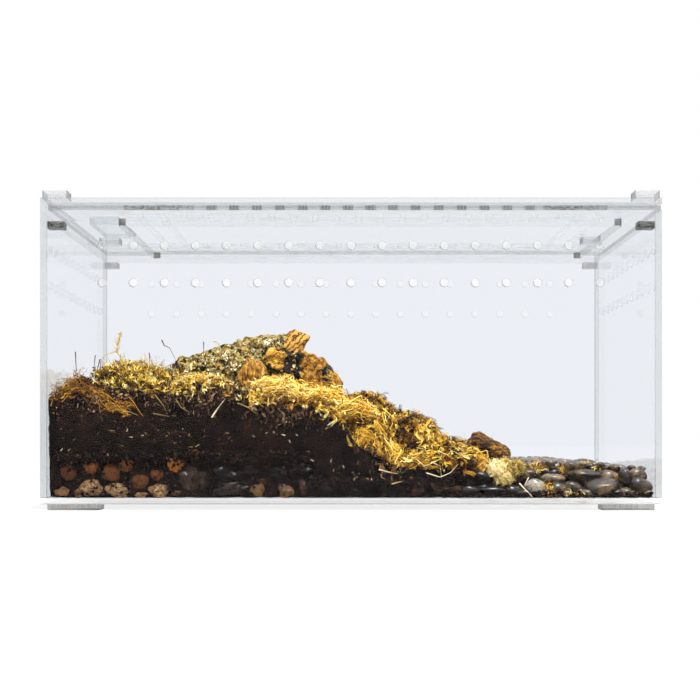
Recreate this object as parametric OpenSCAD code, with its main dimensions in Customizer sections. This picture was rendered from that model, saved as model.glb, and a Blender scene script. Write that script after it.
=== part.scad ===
// Clear acrylic terrarium with a sliding vented lid and a planted landscape.
// Millimetres. The origin is the middle of the footprint, on the table under
// the feet. X runs to the right along the front, Y to the back, Z up.

/* [Box] */
// Outside width of the box, along its front
box_w = 300; // [270:1:360]
// Outside depth of the box, front to back
box_d = 200; // [176:1:260]
// Height of the front and back panels above the base plate
wall_h = 142; // [132:1:200]
// Thickness of the base plate and of the four walls
sheet_t = 3; // [2.5:0.1:4]

/* [Vents] */
// Diameter of the vents in the walls
vent_d = 4; // [2:0.1:5]
// Distance between vents along the front and the back panel
vent_pitch = 15; // [10:0.5:20]
// Distance between vents along the side panels
side_vent_pitch = 16; // [10:0.5:20]
// Distance from the upper row of vents down to the lower row
vent_row_gap = 18; // [8:0.5:22]
// Distance from the wall top down to the upper row of vents
vent_drop = 20; // [17:0.5:24]
// Least distance from a front or back corner to the first vent
vent_margin = 30; // [14:1:50]
// Least distance from a side panel's end to its first vent
side_vent_margin = 20; // [14:1:40]

/* [Access frame] */
// Thickness of the frame that the lid rests over
frame_t = 5; // [3:0.5:6]
// Width of the frame's left border
frame_left = 31.5; // [24:0.5:45]
// Width of the frame's right border
frame_right = 12.5; // [10:0.5:30]
// Width of the frame's front and back borders
frame_side = 22; // [18:0.5:35]
// Side of the square blocks that carry the frame's corners
frame_block_side = 8; // [5:0.5:12]
// Height of the blocks that carry the frame's corners
frame_block_h = 3.5; // [2:0.5:5]

/* [Lid] */
// Thickness of the sliding lid
lid_t = 2.5; // [2:0.1:4]
// Running gap above the lid, and the same below it
lid_gap = 0.25; // [0.2:0.05:0.5]
// Running gap at the lid's front, back and left edges
lid_edge_gap = 0.3; // [0.2:0.05:0.6]
// Diameter of the lid's vents
lid_vent_d = 3.5; // [2:0.1:4.5]
// Distance between the lid's vents, both ways
lid_vent_pitch = 11; // [9:0.5:14]
// Least distance from the access opening's edge to the lid's outer vents
lid_vent_inset = 9; // [5:0.5:15]
// Width of the pull bar, along the lid's travel
pull_w = 16; // [8:0.5:20]
// Length of the pull bar, across the lid
pull_len = 60; // [30:1:90]
// Height of the pull bar
pull_h = 3; // [2:0.5:5]
// Distance from the lid's left edge to the pull bar
pull_inset = 9.5; // [4:0.5:12]

/* [Rails and stacking blocks] */
// Width of the rails that hold the lid down
rail_w = 16; // [16:0.5:24]
// Thickness of the rails
rail_t = 3; // [2.5:0.1:4]
// Side of the square stacking blocks
block_side = 12; // [8:0.5:12]
// Height of the stacking blocks
block_h = 4; // [2:0.5:8]
// Distance from the front and back faces to the stacking blocks
block_setback = 3.5; // [0:0.5:4]
// Distance from the box's ends to the stacking blocks
block_end_inset = 0.5; // [0:0.5:3]

/* [Feet] */
// Side of the square feet
foot_side = 25; // [16:1:36]
// Height of the feet
foot_h = 3; // [2:0.5:8]
// Distance from the box's edges to the feet
foot_inset = 3; // [0:0.5:10]
// Length cut off each foot's inner corner, along both sides
foot_cut = 8; // [2:0.5:12]

/* [Drainage] */
// Gap between the landscape and the walls
wall_gap = 0.3; // [0.2:0.1:1]
// Height of the drainage bed at the left
bed_h = 20; // [19.5:0.5:24]
// Height of the drainage bed under the golden slope
low_bed_h = 8; // [7.5:0.5:10]
// Distance from the golden moss's start to the drainage bed's step down
bed_step = 26; // [18:1:34]
// Depth of the row of balls and stones along the front wall
row_d = 11.4; // [10.6:0.2:16]
// Distance between the balls and stones of that row
row_pitch = 10.8; // [10.4:0.2:14]
// Diameter of the clay balls
ball_d = 8.2; // [6:0.2:8.4]
// Width of the flat shards and stones in the row
shard_d = 10; // [6:0.2:10.2]
// Thickness of the flat shards and stones in the row
shard_h = 7; // [4:0.2:7.2]
// Thickness of the shelf between the row's two levels
shelf_t = 3.5; // [2:0.1:3.6]
// Length of the row, from the left, whose lower level is broken clay
shard_run = 58; // [22:1:90]
// Length of the row, from the left, whose upper level is clay balls
ball_run = 86; // [22:1:110]

/* [Ground] */
// Height of the soil over the base plate at the left
soil_high = 46; // [40:0.5:50]
// Height of the soil over the base plate at the right
soil_low = 13; // [12:0.5:15]
// Height of the bare mound at the left front corner
mound_h = 12; // [4:0.5:14]
// Radius of the mound, where it has fallen to a little over half its height
mound_r = 9; // [6:0.5:14]
// Distance from the left wall to the mound's middle
mound_left = 13; // [8:1:18]
// Distance from the front of the ground back to the mound's middle
mound_back = 7; // [4:1:20]
// Distance from the golden moss's start to where the soil begins to fall
slope_start = 25; // [20:1:32]
// Length over which the soil falls
slope_run = 48; // [40:1:60]
// Distance from the left wall to where the green moss starts, beside the mound
moss_start = 24; // [16:1:30]
// Thickness of the green moss at the front
moss_t = 5; // [4:0.5:9]
// How much thicker the green moss is towards the back
moss_rise = 15; // [8:0.5:18]
// Distance from the front over which the green moss thickens
moss_rise_run = 60; // [30:1:120]
// Height of the lumps on the green moss
moss_lump = 2; // [0:0.5:3]
// Height of the golden moss over the base plate at its left end
bank_high = 58; // [56:0.5:62]
// Height of the golden moss over the base plate at its right end
bank_low = 26; // [22:0.5:32]
// How far the golden moss drops from its crest to the front wall
bank_drop = 9; // [0:0.5:14]
// Least thickness of the golden moss
bank_t = 3; // [2:0.5:6]
// Distance from the left wall to where the golden moss starts
bank_start = 100; // [88:1:112]
// Distance from the left wall to where soil and golden moss end
bank_end = 205; // [190:1:206]

/* [Bark] */
// Height of the log's seat over the base plate
seat_h = 60; // [56:0.5:64]
// Height of the bark slab's seat over the base plate
slab_seat_h = 52; // [50:0.5:58]
// Distance from the left wall to the cork log
log_start = 44; // [36:1:50]
// Length of the cork log
log_len = 66; // [40:1:68]
// Radius of the cork log at its thick end
log_r = 15; // [10:0.5:16]
// Height of the cork log's axis over its seat
log_axis_h = 13; // [8:0.5:16]
// Distance from the front of the ground back to the log's axis
log_back = 92; // [60:1:110]
// Length of the ringed stub at the log's right end
stub_len = 6; // [4:0.5:7.5]
// Radius of the ringed stub
stub_r = 8.5; // [5:0.5:9]
// Length of the leaning bark slab, along the front
slab_w = 22; // [12:1:24]
// Height of the leaning bark slab at its high end
slab_h = 24; // [12:0.5:28]
// Depth of the leaning bark slab
slab_d = 34; // [20:1:38]
// Radius of the round piece of bark
nub_r = 12.5; // [8:0.5:13]
// Height of the round piece of bark
nub_h = 16; // [8:0.5:20]

/* [Pebbles and trim] */
// Distance between river pebbles
pebble_pitch = 14; // [13.2:0.2:17]
// Width of the largest river pebbles
pebble_d = 13; // [8:0.2:13]
// Thickness of the river pebbles
pebble_h = 7; // [5:0.2:8]
// Radius of the pale tuft of moss
tuft_r = 8; // [5:0.5:10]
// Height of the pale tuft of moss
tuft_h = 11; // [8:0.5:14]
// Length of the longest dry sprig
sprig_len = 24; // [14:1:26]
// Diameter of the dry sprigs
sprig_d = 1.4; // [0.8:0.1:2.4]

/* [Hidden] */
$fn = 48;

clear_acrylic = [0.86, 0.90, 0.93, 0.35];
left = -1;
right = 1;
front = -1;
back = 1;
past = 1; // how far a cut runs past the face it opens
bank_curve = 1.6; // above 1, the golden moss falls late and then steeply
seat_margin = 1.5; // how many grid cells a bark seat runs past what lies on it

// Heights above the table.
base_z = foot_h;
floor_z = base_z + sheet_t;
wall_top = floor_z + wall_h;
lid_z = wall_top - lid_gap - lid_t;
frame_top = lid_z - lid_gap;
rail_top = wall_top + rail_t;

// Inside of the box.
inner_w = box_w - 2 * sheet_t;
inner_d = box_d - 2 * sheet_t;

// ------------------------------------------------------------------ box

// A block from its lowest corner.
module block(corner, size) translate(corner) cube(size);

// Draws its child for the right back corner, mirrored into the corner asked for.
module in_corner(side, end)
    mirror([side == left ? 1 : 0, 0, 0])
        mirror([0, end == front ? 1 : 0, 0])
            children();

// A square foot with its inner corner cut off.
module foot(side, end)
    color(clear_acrylic)
        in_corner(side, end)
            translate([box_w / 2 - foot_inset, box_d / 2 - foot_inset, 0])
                linear_extrude(foot_h)
                    polygon([
                        [0, 0],
                        [-foot_side, 0],
                        [-foot_side, -foot_side + foot_cut],
                        [-foot_side + foot_cut, -foot_side],
                        [0, -foot_side]
                    ]);

module base_plate()
    color(clear_acrylic)
        block([-box_w / 2, -box_d / 2, base_z], [box_w, box_d, sheet_t]);

// Two level rows of vents along X, drilled along Y through a wall at y.
module vent_rows(length, pitch, margin, y) {
    last = floor((length - 2 * margin) / pitch + 0.001);
    for (row = [0, 1], i = [0 : last])
        translate([(i - last / 2) * pitch, y, wall_top - vent_drop - row * vent_row_gap])
            rotate([90, 0, 0])
                cylinder(d = vent_d, h = sheet_t + 2 * past, center = true);
}

// The front and back panels stand between the side panels.
module long_panel(end)
    color(clear_acrylic)
        difference() {
            block([-inner_w / 2, end * (box_d - sheet_t) / 2 - sheet_t / 2, floor_z],
                  [inner_w, sheet_t, wall_h]);
            vent_rows(box_w, vent_pitch, vent_margin, end * (box_d - sheet_t) / 2);
        }

// The side panels run the full depth. The left one stops the lid, and the lid
// slides out over the right one.
module side_panel(side, top)
    color(clear_acrylic)
        difference() {
            block([side * (box_w - sheet_t) / 2 - sheet_t / 2, -box_d / 2, floor_z],
                  [sheet_t, box_d, top - floor_z]);
            rotate([0, 0, 90])
                vent_rows(box_d, side_vent_pitch, side_vent_margin,
                          -side * (box_w - sheet_t) / 2);
        }

// ------------------------------------------------------------ access frame

opening_w = inner_w - frame_left - frame_right;
opening_d = inner_d - 2 * frame_side;
opening_x = -inner_w / 2 + frame_left;

module access_frame()
    color(clear_acrylic)
        difference() {
            block([-inner_w / 2, -inner_d / 2, frame_top - frame_t],
                  [inner_w, inner_d, frame_t]);
            block([opening_x, -opening_d / 2, frame_top - frame_t - past],
                  [opening_w, opening_d, frame_t + 2 * past]);
        }

module frame_block(side, end)
    color(clear_acrylic)
        in_corner(side, end)
            block([inner_w / 2 - frame_block_side, inner_d / 2 - frame_block_side,
                   frame_top - frame_t - frame_block_h],
                  [frame_block_side, frame_block_side, frame_block_h]);

// -------------------------------------------------------------------- lid

lid_x = -inner_w / 2 + lid_edge_gap;
lid_w = box_w / 2 - lid_x;
lid_d = inner_d - 2 * lid_edge_gap;

// A double ring of vents over the access opening.
module lid_vents() {
    columns = floor((opening_w - 2 * lid_vent_inset) / lid_vent_pitch + 0.001);
    rows = floor((opening_d - 2 * lid_vent_inset) / lid_vent_pitch + 0.001);
    for (i = [0 : columns], j = [0 : rows])
        if (min(i, columns - i, j, rows - j) < 2)
            translate([opening_x + opening_w / 2 + (i - columns / 2) * lid_vent_pitch,
                       (j - rows / 2) * lid_vent_pitch, lid_z - past])
                cylinder(d = lid_vent_d, h = lid_t + 2 * past);
}

module lid_plate()
    color(clear_acrylic)
        difference() {
            block([lid_x, -lid_d / 2, lid_z], [lid_w, lid_d, lid_t]);
            lid_vents();
        }

module lid_pull()
    color(clear_acrylic)
        block([lid_x + pull_inset, -pull_len / 2, lid_z + lid_t], [pull_w, pull_len, pull_h]);

// The rails run from the left panel to the right end, over the lid's edges.
module rail(end)
    color(clear_acrylic)
        block([-inner_w / 2, end == back ? box_d / 2 - rail_w : -box_d / 2, wall_top],
              [inner_w / 2 + box_w / 2, rail_w, rail_t]);

module stacking_block(side, end)
    color(clear_acrylic)
        in_corner(side, end)
            block([box_w / 2 - block_end_inset - block_side,
                   box_d / 2 - block_setback - block_side, rail_top],
                  [block_side, block_side, block_h]);

// ------------------------------------------------------------ ground surfaces

// The ground is laid out on one grid, so layers that touch share their faces.
ground_w = inner_w - 2 * wall_gap;
ground_d = inner_d - 2 * wall_gap;
ground_x = -ground_w / 2;
ground_y = -ground_d / 2;
cells_w = round(ground_w / 8);
cells_d = round(ground_d / 8);
cell_w = ground_w / cells_w;
cell_d = ground_d / cells_d;
function grid_x(i) = ground_x + i * cell_w;
function grid_y(j) = ground_y + j * cell_d;
function column(distance) = round(distance / cell_w);

moss_column = column(moss_start);
bank_column = column(bank_start);
end_column = column(bank_end);
step_column = column(bank_start + bed_step);
bank_x = grid_x(bank_column);
end_x = grid_x(end_column);
bed_z = floor_z + bed_h;
low_bed_z = floor_z + low_bed_h;
seat_z = floor_z + seat_h;
slab_seat_z = floor_z + slab_seat_h;

// From 0 to 1 with level ends.
function ease(t) = let (c = min(1, max(0, t))) c * c * (3 - 2 * c);

// A repeatable number from 0 to 1 for each whole number.
function scatter(n) = let (v = sin(n * 78.233 + 12.99) * 437.585) v - floor(v);

// Gentle lumps, from -1 to 1.
function lumps(x, y) = 0.6 * sin(4.1 * x + 2.3 * y) + 0.4 * sin(7.7 * y - 3.1 * x + 40);

function bed_top(x, y) = x <= grid_x(step_column) + 0.01 ? bed_z : low_bed_z;

function mound(x, y) =
    let (from_left = x - ground_x - mound_left, from_front = y - ground_y - mound_back)
    mound_h * exp(-(pow(from_left, 2) + pow(from_front, 2)) / (2 * pow(mound_r, 2)));

function soil_top(x, y) =
    floor_z + soil_high + mound(x, y) + lumps(x, y)
    - (soil_high - soil_low) * ease((x - bank_x - slope_start) / slope_run);

log_y = ground_y + log_back;
log_x = ground_x + log_start;
log_end_column = ceil((log_start + log_len) / cell_w);
slab_x = grid_x(log_end_column + 1);

// The log and the slab lie on level seats pressed into the moss, one cell apart.
function beside_bark(y) = abs(y - log_y) < max(log_r, slab_d / 2) + seat_margin * cell_d;
function under_log(x, y) =
    beside_bark(y) && x > log_x - seat_margin * cell_w && x < slab_x - cell_w / 2;
function under_slab(x, y) =
    beside_bark(y) && x > slab_x - cell_w / 2 && x < slab_x + slab_w + cell_w;

function moss_top(x, y) =
    under_log(x, y) ? seat_z
    : under_slab(x, y) ? slab_seat_z
    : soil_top(x, y) + moss_t + moss_rise * ease((y - ground_y) / moss_rise_run)
      + moss_lump * lumps(y, x);

function bank_slope(x, y) =
    floor_z + bank_high + lumps(y, x)
    - (bank_high - bank_low) * pow((x - bank_x) / (end_x - bank_x), bank_curve)
    - bank_drop * (1 - ease((y - ground_y) / moss_rise_run));

function bank_top(x, y) =
    under_log(x, y) ? seat_z
    : under_slab(x, y) ? slab_seat_z
    : max(bank_slope(x, y), soil_top(x, y) + bank_t);

// A closed layer between two surfaces, from one grid column to another.
module ground_layer(first, last, low, high) {
    rows = cells_d + 1;
    count = (last - first + 1) * rows;
    points = [
        for (height = [low, high], i = [first : last], j = [0 : cells_d])
            [grid_x(i), grid_y(j), height(grid_x(i), grid_y(j))]
    ];
    function at(i, j) = (i - first) * rows + j;
    faces = [
        for (i = [first : last - 1], j = [0 : cells_d - 1])
            each [
                [at(i, j), at(i + 1, j), at(i + 1, j + 1)],
                [at(i, j), at(i + 1, j + 1), at(i, j + 1)],
                [count + at(i, j), count + at(i + 1, j + 1), count + at(i + 1, j)],
                [count + at(i, j), count + at(i, j + 1), count + at(i + 1, j + 1)]
            ],
        for (i = [first : last - 1])
            each [
                [at(i, 0), count + at(i, 0), count + at(i + 1, 0), at(i + 1, 0)],
                [at(i + 1, cells_d), count + at(i + 1, cells_d),
                 count + at(i, cells_d), at(i, cells_d)]
            ],
        for (j = [0 : cells_d - 1])
            each [
                [at(first, j + 1), count + at(first, j + 1),
                 count + at(first, j), at(first, j)],
                [at(last, j), count + at(last, j),
                 count + at(last, j + 1), at(last, j + 1)]
            ]
    ];
    polyhedron(points, faces);
}

// ---------------------------------------------------------------- drainage

// A solid with its outline in X and Z, from y0 to y1.
module upright(outline, y0, y1)
    translate([0, y1, 0]) rotate([90, 0, 0]) linear_extrude(y1 - y0) polygon(outline);

row_y = ground_y + row_d / 2;
shelf_top = low_bed_z + shelf_t;

// Packed filling, set back from the front wall by the row of balls and stones,
// with a shelf between the row's two levels.
module drainage_bed()
    color([0.16, 0.11, 0.08]) {
        upright([
            [ground_x, floor_z],
            [end_x, floor_z],
            [end_x, low_bed_z],
            [grid_x(step_column + 1), low_bed_z],
            [grid_x(step_column), bed_z],
            [ground_x, bed_z]
        ], ground_y + row_d, -ground_y);
        block([ground_x, ground_y, low_bed_z],
              [grid_x(step_column) - ground_x, row_d, shelf_t]);
    }

// A flat stone with rounded-off edges, level on its bottom and top.
module flat_stone(d, h)
    rotate_extrude()
        polygon([
            [0, 0], [d * 0.3, 0], [d * 0.44, h * 0.18], [d / 2, h / 2],
            [d * 0.44, h * 0.82], [d * 0.3, h], [0, h]
        ]);

// Places its child along the row, for each place that lies within a stretch.
module along_row(from, to, z) {
    count = floor((to - from) / row_pitch);
    for (i = [0 : 1 : count - 1])
        translate([ground_x + from + (i + 0.5) * row_pitch, row_y, z]) children();
}
ball_end = floor(ball_run / row_pitch) * row_pitch;
shard_end = floor(shard_run / row_pitch) * row_pitch;

module clay_balls()
    color([0.55, 0.33, 0.18])
        along_row(0, ball_end, shelf_top + ball_d / 2) sphere(d = ball_d);

module clay_shards()
    color([0.68, 0.54, 0.38])
        along_row(0, shard_end, floor_z) flat_stone(shard_d, shard_h);

module drainage_stones()
    color([0.24, 0.22, 0.21]) {
        along_row(shard_end, end_x - ground_x, floor_z) flat_stone(shard_d, shard_h);
        along_row(ball_end, grid_x(step_column) - ground_x, shelf_top)
            flat_stone(shard_d, shard_h);
    }

// -------------------------------------------------------------------- soil

module soil_bed()
    color([0.14, 0.09, 0.07])
        ground_layer(0, end_column,
                     function(x, y) bed_top(x, y), function(x, y) soil_top(x, y));

module moss_carpet()
    color([0.48, 0.46, 0.16])
        ground_layer(moss_column, bank_column,
                     function(x, y) soil_top(x, y), function(x, y) moss_top(x, y));

module sphagnum_bank()
    color([0.76, 0.58, 0.25])
        ground_layer(bank_column, end_column,
                     function(x, y) soil_top(x, y), function(x, y) bank_top(x, y));

// -------------------------------------------------------------------- bark

// The log's radius swells and shrinks towards its thick right end.
function log_radius(t) = log_r * (0.45 + 0.55 * t) * (1 - 0.06 * (1 + sin(t * 900)) / 2);

module cork_log()
    color([0.42, 0.36, 0.24])
        intersection() {
            translate([log_x, log_y, seat_z + log_axis_h])
                rotate([0, 90, 0])
                    rotate_extrude()
                        polygon(concat(
                            [[0, log_len], [0, 0]],
                            [for (i = [0 : 12]) [log_radius(i / 12), i / 12 * log_len]]
                        ));
            block([log_x - past, log_y - 2 * log_r, seat_z],
                  [log_len + 2 * past, 4 * log_r, log_axis_h + 2 * log_r]);
        }

// The sawn end, with a ring cut into its face.
module bark_stub()
    color([0.66, 0.47, 0.24])
        translate([log_x + log_len, log_y, seat_z + log_axis_h])
            rotate([0, 90, 0])
                difference() {
                    cylinder(r = stub_r, h = stub_len);
                    translate([0, 0, stub_len - 1])
                        difference() {
                            cylinder(r = stub_r * 0.7, h = 1 + past);
                            cylinder(r = stub_r * 0.45, h = 3 + past, center = true);
                        }
                }

module bark_slab()
    color([0.60, 0.36, 0.14])
        upright([
            [slab_x, slab_seat_z],
            [slab_x + slab_w, slab_seat_z],
            [slab_x + slab_w, slab_seat_z + slab_h * 0.3],
            [slab_x + slab_w * 0.55, slab_seat_z + slab_h * 0.8],
            [slab_x, slab_seat_z + slab_h]
        ], log_y - slab_d / 2, log_y + slab_d / 2);

// ----------------------------------------------------------------- pebbles

pebble_columns = floor((-ground_x - end_x) / pebble_pitch);
pebble_rows = floor(ground_d / pebble_pitch);
pebble_z = floor_z + 2 * pebble_h;
function pebble_x(i) = -ground_x - (pebble_columns - i - 0.5) * pebble_pitch;
function pebble_y(j) = ground_y + (j + 0.5) * ground_d / pebble_rows;

nub_x = pebble_x(0) + pebble_pitch / 2;
nub_y = pebble_y(floor(pebble_rows * 0.45));
tuft_x = pebble_x(0) + pebble_pitch / 4;
tuft_y = ground_y + tuft_r;

function under_tuft(i, j) =
    norm([pebble_x(i) - tuft_x, pebble_y(j) - tuft_y]) < tuft_r + pebble_d / 2;

// Two layers over the right-hand floor, with a gap in the upper one for the tuft.
module river_pebbles()
    color([0.38, 0.33, 0.28])
        for (layer = [0, 1], i = [0 : pebble_columns - 1], j = [0 : pebble_rows - 1])
            if (layer == 0 || !under_tuft(i, j))
                translate([pebble_x(i), pebble_y(j), floor_z + layer * pebble_h])
                    flat_stone(pebble_d * (0.82 + 0.18 * scatter(i + 11 * j + 97 * layer)),
                               pebble_h);

// A dome with a level bottom.
module dome(r, h)
    rotate_extrude()
        polygon(concat(
            [[0, 0]],
            [for (a = [0 : 15 : 90]) [r * cos(a), h * (0.25 * (a > 0 ? 1 : 0) + 0.75 * sin(a))]]
        ));

module bark_nub() color([0.58, 0.40, 0.18]) translate([nub_x, nub_y, pebble_z]) dome(nub_r, nub_h);

module cream_tuft()
    color([0.85, 0.76, 0.55])
        translate([tuft_x, tuft_y, floor_z + pebble_h]) dome(tuft_r, tuft_h);

// ------------------------------------------------------------------ sprigs

// Dry stems that stand on the moss: grid columns from the moss's start, grid row
// and share of the longest one's length.
stems = [[1, 6, 1], [2, 14, 0.9], [3, 8, 0.6], [6, 8, 0.5], [1, 17, 0.75]];
stem_lift = 0.3; // keeps a stem's foot clear of the moss where it slopes

module sprigs()
    color([0.50, 0.42, 0.20])
        for (stem = stems)
            let (x = grid_x(moss_column + stem[0]), y = grid_y(stem[1]))
                translate([x, y, moss_top(x, y) + stem_lift])
                    cylinder(d = sprig_d, h = sprig_len * stem[2]);

// ------------------------------------------------------------------- nodes

foot(left, front);  // foot_front_left
foot(right, front);  // foot_front_right
foot(left, back);  // foot_back_left
foot(right, back);  // foot_back_right
base_plate();
long_panel(front);  // front_panel
long_panel(back);  // back_panel
side_panel(left, rail_top);  // left_panel
side_panel(right, frame_top);  // right_panel
access_frame();
frame_block(left, front);  // frame_block_front_left
frame_block(right, front);  // frame_block_front_right
frame_block(left, back);  // frame_block_back_left
frame_block(right, back);  // frame_block_back_right
rail(front);  // front_rail
rail(back);  // back_rail
stacking_block(left, front);  // stacking_block_front_left
stacking_block(right, front);  // stacking_block_front_right
stacking_block(left, back);  // stacking_block_back_left
stacking_block(right, back);  // stacking_block_back_right
lid_plate();
lid_pull();
drainage_bed();
clay_balls();
clay_shards();
drainage_stones();
soil_bed();
moss_carpet();
sphagnum_bank();
cork_log();
bark_stub();
bark_slab();
bark_nub();
cream_tuft();
river_pebbles();
sprigs();
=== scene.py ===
"""The looks of a clear acrylic terrarium and the planted landscape inside it."""

import math
import random

import bmesh
import bpy
import numpy as np
from mathutils import Euler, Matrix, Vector, noise


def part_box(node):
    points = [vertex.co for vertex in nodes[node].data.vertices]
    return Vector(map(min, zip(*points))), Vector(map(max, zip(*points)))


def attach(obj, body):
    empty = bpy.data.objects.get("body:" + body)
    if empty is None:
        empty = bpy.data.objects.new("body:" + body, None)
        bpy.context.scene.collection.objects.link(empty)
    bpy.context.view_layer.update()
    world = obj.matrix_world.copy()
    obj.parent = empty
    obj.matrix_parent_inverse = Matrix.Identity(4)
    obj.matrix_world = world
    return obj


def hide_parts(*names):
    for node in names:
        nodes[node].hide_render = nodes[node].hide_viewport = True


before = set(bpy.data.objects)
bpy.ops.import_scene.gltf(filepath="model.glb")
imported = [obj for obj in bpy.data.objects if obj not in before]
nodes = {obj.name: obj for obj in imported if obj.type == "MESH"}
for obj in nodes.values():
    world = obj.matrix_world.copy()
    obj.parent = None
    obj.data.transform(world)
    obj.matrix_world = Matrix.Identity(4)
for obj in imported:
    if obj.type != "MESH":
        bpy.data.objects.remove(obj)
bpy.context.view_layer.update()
MM = 0.001

# ---------------------------------------------------------------- camera
# The camera stands low in front of the box, level, with its frame slid up, so that
# the box's upright edges stay upright.

CAMERA_X = -0.5 * MM
CAMERA_DISTANCE = 896 * MM
CAMERA_HEIGHT = 34.8 * MM
camera = bpy.data.objects.new("camera", bpy.data.cameras.new("camera"))
camera.location = (CAMERA_X, -CAMERA_DISTANCE, CAMERA_HEIGHT)
camera.rotation_euler = (math.radians(90), 0, 0)
camera.data.sensor_width = 36
camera.data.lens = 84.9
camera.data.shift_y = 0.1264
bpy.context.scene.collection.objects.link(camera)
bpy.context.scene.camera = camera
bpy.context.scene.view_settings.view_transform = "Standard"


# ------------------------------------------------------------------ room
# A white floor that runs out to a white world. What the camera, a reflection or
# the acrylic sees of them is plain white, while the object gets even, softer light.


class Wire:
    """A shader node's output. Sums on it add Math nodes, and node() adds any other."""

    def __init__(self, tree, socket=None):
        self.tree = tree
        self.socket = socket

    def node(self, kind, settings=None, inputs=None, output=0):
        made = self.tree.nodes.new(kind)
        for name, value in (settings or {}).items():
            if name == "stops":
                ramp = made.color_ramp
                while len(ramp.elements) < len(value):
                    ramp.elements.new(1)
                for element, (place, colour) in zip(ramp.elements, value):
                    element.position = place
                    element.color = (*colour, 1)
            else:
                setattr(made, name, value)
        for name, value in (inputs or {}).items():
            if isinstance(value, Wire):
                self.tree.links.new(value.socket, made.inputs[name])
            else:
                made.inputs[name].default_value = value
        return Wire(self.tree, made.outputs[output] if made.outputs else None)

    def math(self, operation, *values):
        return self.node("ShaderNodeMath", {"operation": operation}, dict(enumerate(values)))

    def __add__(self, other):
        return self.math("ADD", self, other)

    def __sub__(self, other):
        return self.math("SUBTRACT", self, other)

    def __rsub__(self, other):
        return self.math("SUBTRACT", other, self)

    def __mul__(self, other):
        return self.math("MULTIPLY", self, other)

    def __truediv__(self, other):
        return self.math("DIVIDE", self, other)

    def __lt__(self, other):
        return self.math("LESS_THAN", self, other)

    def __gt__(self, other):
        return self.math("GREATER_THAN", self, other)

    def __abs__(self):
        return self.math("ABSOLUTE", self)

    __radd__ = __add__
    __rmul__ = __mul__


def mixed(amount, first, second):
    """The colour that lies amount of the way from the first to the second."""
    return amount.node(
        "ShaderNodeMix",
        {"data_type": "RGBA"},
        {0: amount, 6: first if isinstance(first, Wire) else (*first, 1),
         7: second if isinstance(second, Wire) else (*second, 1)},
        2,
    )


def seen_directly(tree):
    """1 where the camera or clear acrylic looks, less for a reflection, and 0 for light."""
    path = Wire(tree).node("ShaderNodeLightPath").socket.node
    seen = Wire(tree, path.outputs["Is Camera Ray"])
    seen = seen.math("MAXIMUM", seen, Wire(tree, path.outputs["Is Transmission Ray"]))
    return seen.math("MAXIMUM", seen, Wire(tree, path.outputs["Is Glossy Ray"]) * 0.5)


world = bpy.data.worlds.new("white_room")
world.use_nodes = True
world.node_tree.nodes.clear()
seen = seen_directly(world.node_tree)
WORLD_LIGHT = 0.30
sky = seen.node("ShaderNodeBackground", {}, {"Color": (1, 1, 1, 1),
                                             "Strength": seen * (1 - WORLD_LIGHT) + WORLD_LIGHT})
seen.node("ShaderNodeOutputWorld", {}, {"Surface": sky})
bpy.context.scene.world = world

floor_mesh = bmesh.new()
bmesh.ops.create_grid(floor_mesh, x_segments=1, y_segments=1, size=6)
bmesh.ops.translate(floor_mesh, verts=floor_mesh.verts, vec=(0, 0, -0.05 * MM))
floor_data = bpy.data.meshes.new("floor")
floor_mesh.to_mesh(floor_data)
floor = bpy.data.objects.new("floor", floor_data)
bpy.context.scene.collection.objects.link(floor)
paper = bpy.data.materials.new("white_floor")
paper.use_nodes = True
paper.node_tree.nodes.clear()
seen = seen_directly(paper.node_tree)
spot = seen.node("ShaderNodeTexCoord", {}, {}, "Object")
away = seen.node("ShaderNodeVectorMath", {"operation": "LENGTH"}, {0: spot}, "Value")
plain = seen.node("ShaderNodeMapRange", {"interpolation_type": "SMOOTHSTEP"},
                  {"Value": away, "From Min": 0.25, "From Max": 0.9, "To Min": 0.82, "To Max": 1})
matt = seen.node("ShaderNodeBsdfDiffuse", {}, {"Color": (0.82, 0.82, 0.82, 1)})
white = seen.node("ShaderNodeEmission", {}, {"Color": (1, 1, 1, 1), "Strength": 1.03})
shown = seen.node("ShaderNodeMixShader", {}, {0: seen * plain, 1: matt, 2: white})
seen.node("ShaderNodeOutputMaterial", {}, {"Surface": shown})
floor.data.materials.append(paper)


def lamp(name, power, size, place, target):
    """A square studio lamp, a little warm, that no camera or clear sheet sees."""
    light = bpy.data.lights.new(name, "AREA")
    light.energy = power
    light.size = size
    light.color = (1, 0.988, 0.968)
    holder = bpy.data.objects.new(name, light)
    holder.location = place
    holder.rotation_euler = (Vector(target) - Vector(place)).to_track_quat("-Z", "Y").to_euler()
    holder.visible_camera = False
    holder.visible_transmission = False
    bpy.context.scene.collection.objects.link(holder)


lamp("key", 25, 0.3, (0.25, -0.6, 1.1), (0, 0, 0.05))
lamp("softbox", 9, 0.6, (0.15, -0.8, 0.8), (0.05, 0, 0.04))
lamp("fill", 5.5, 0.6, (-0.8, -0.8, 0.45), (0, 0, 0.05))

# --------------------------------------------------------------- acrylic
# Every sheet, rail, block and foot is polished clear acrylic, joined with a thin
# solvent that leaves no seam. Sawn edges look a little greyer than the faces.


def finish(name):
    """A new material's first wire, and its object coordinates in millimetres."""
    material = bpy.data.materials.new(name)
    material.use_nodes = True
    material.node_tree.nodes.clear()
    start = Wire(material.node_tree)
    here = start.node("ShaderNodeTexCoord", {}, {}, "Object")
    return material, mapped(here, Scale=(1000, 1000, 1000))


def noise_of(here, size, detail=3, rough=0.5):
    """Noise from 0 to 1 whose lumps are about that many millimetres across."""
    return here.node("ShaderNodeTexNoise", {}, {"Vector": here, "Scale": 1 / size,
                                                "Detail": detail, "Roughness": rough})


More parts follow.
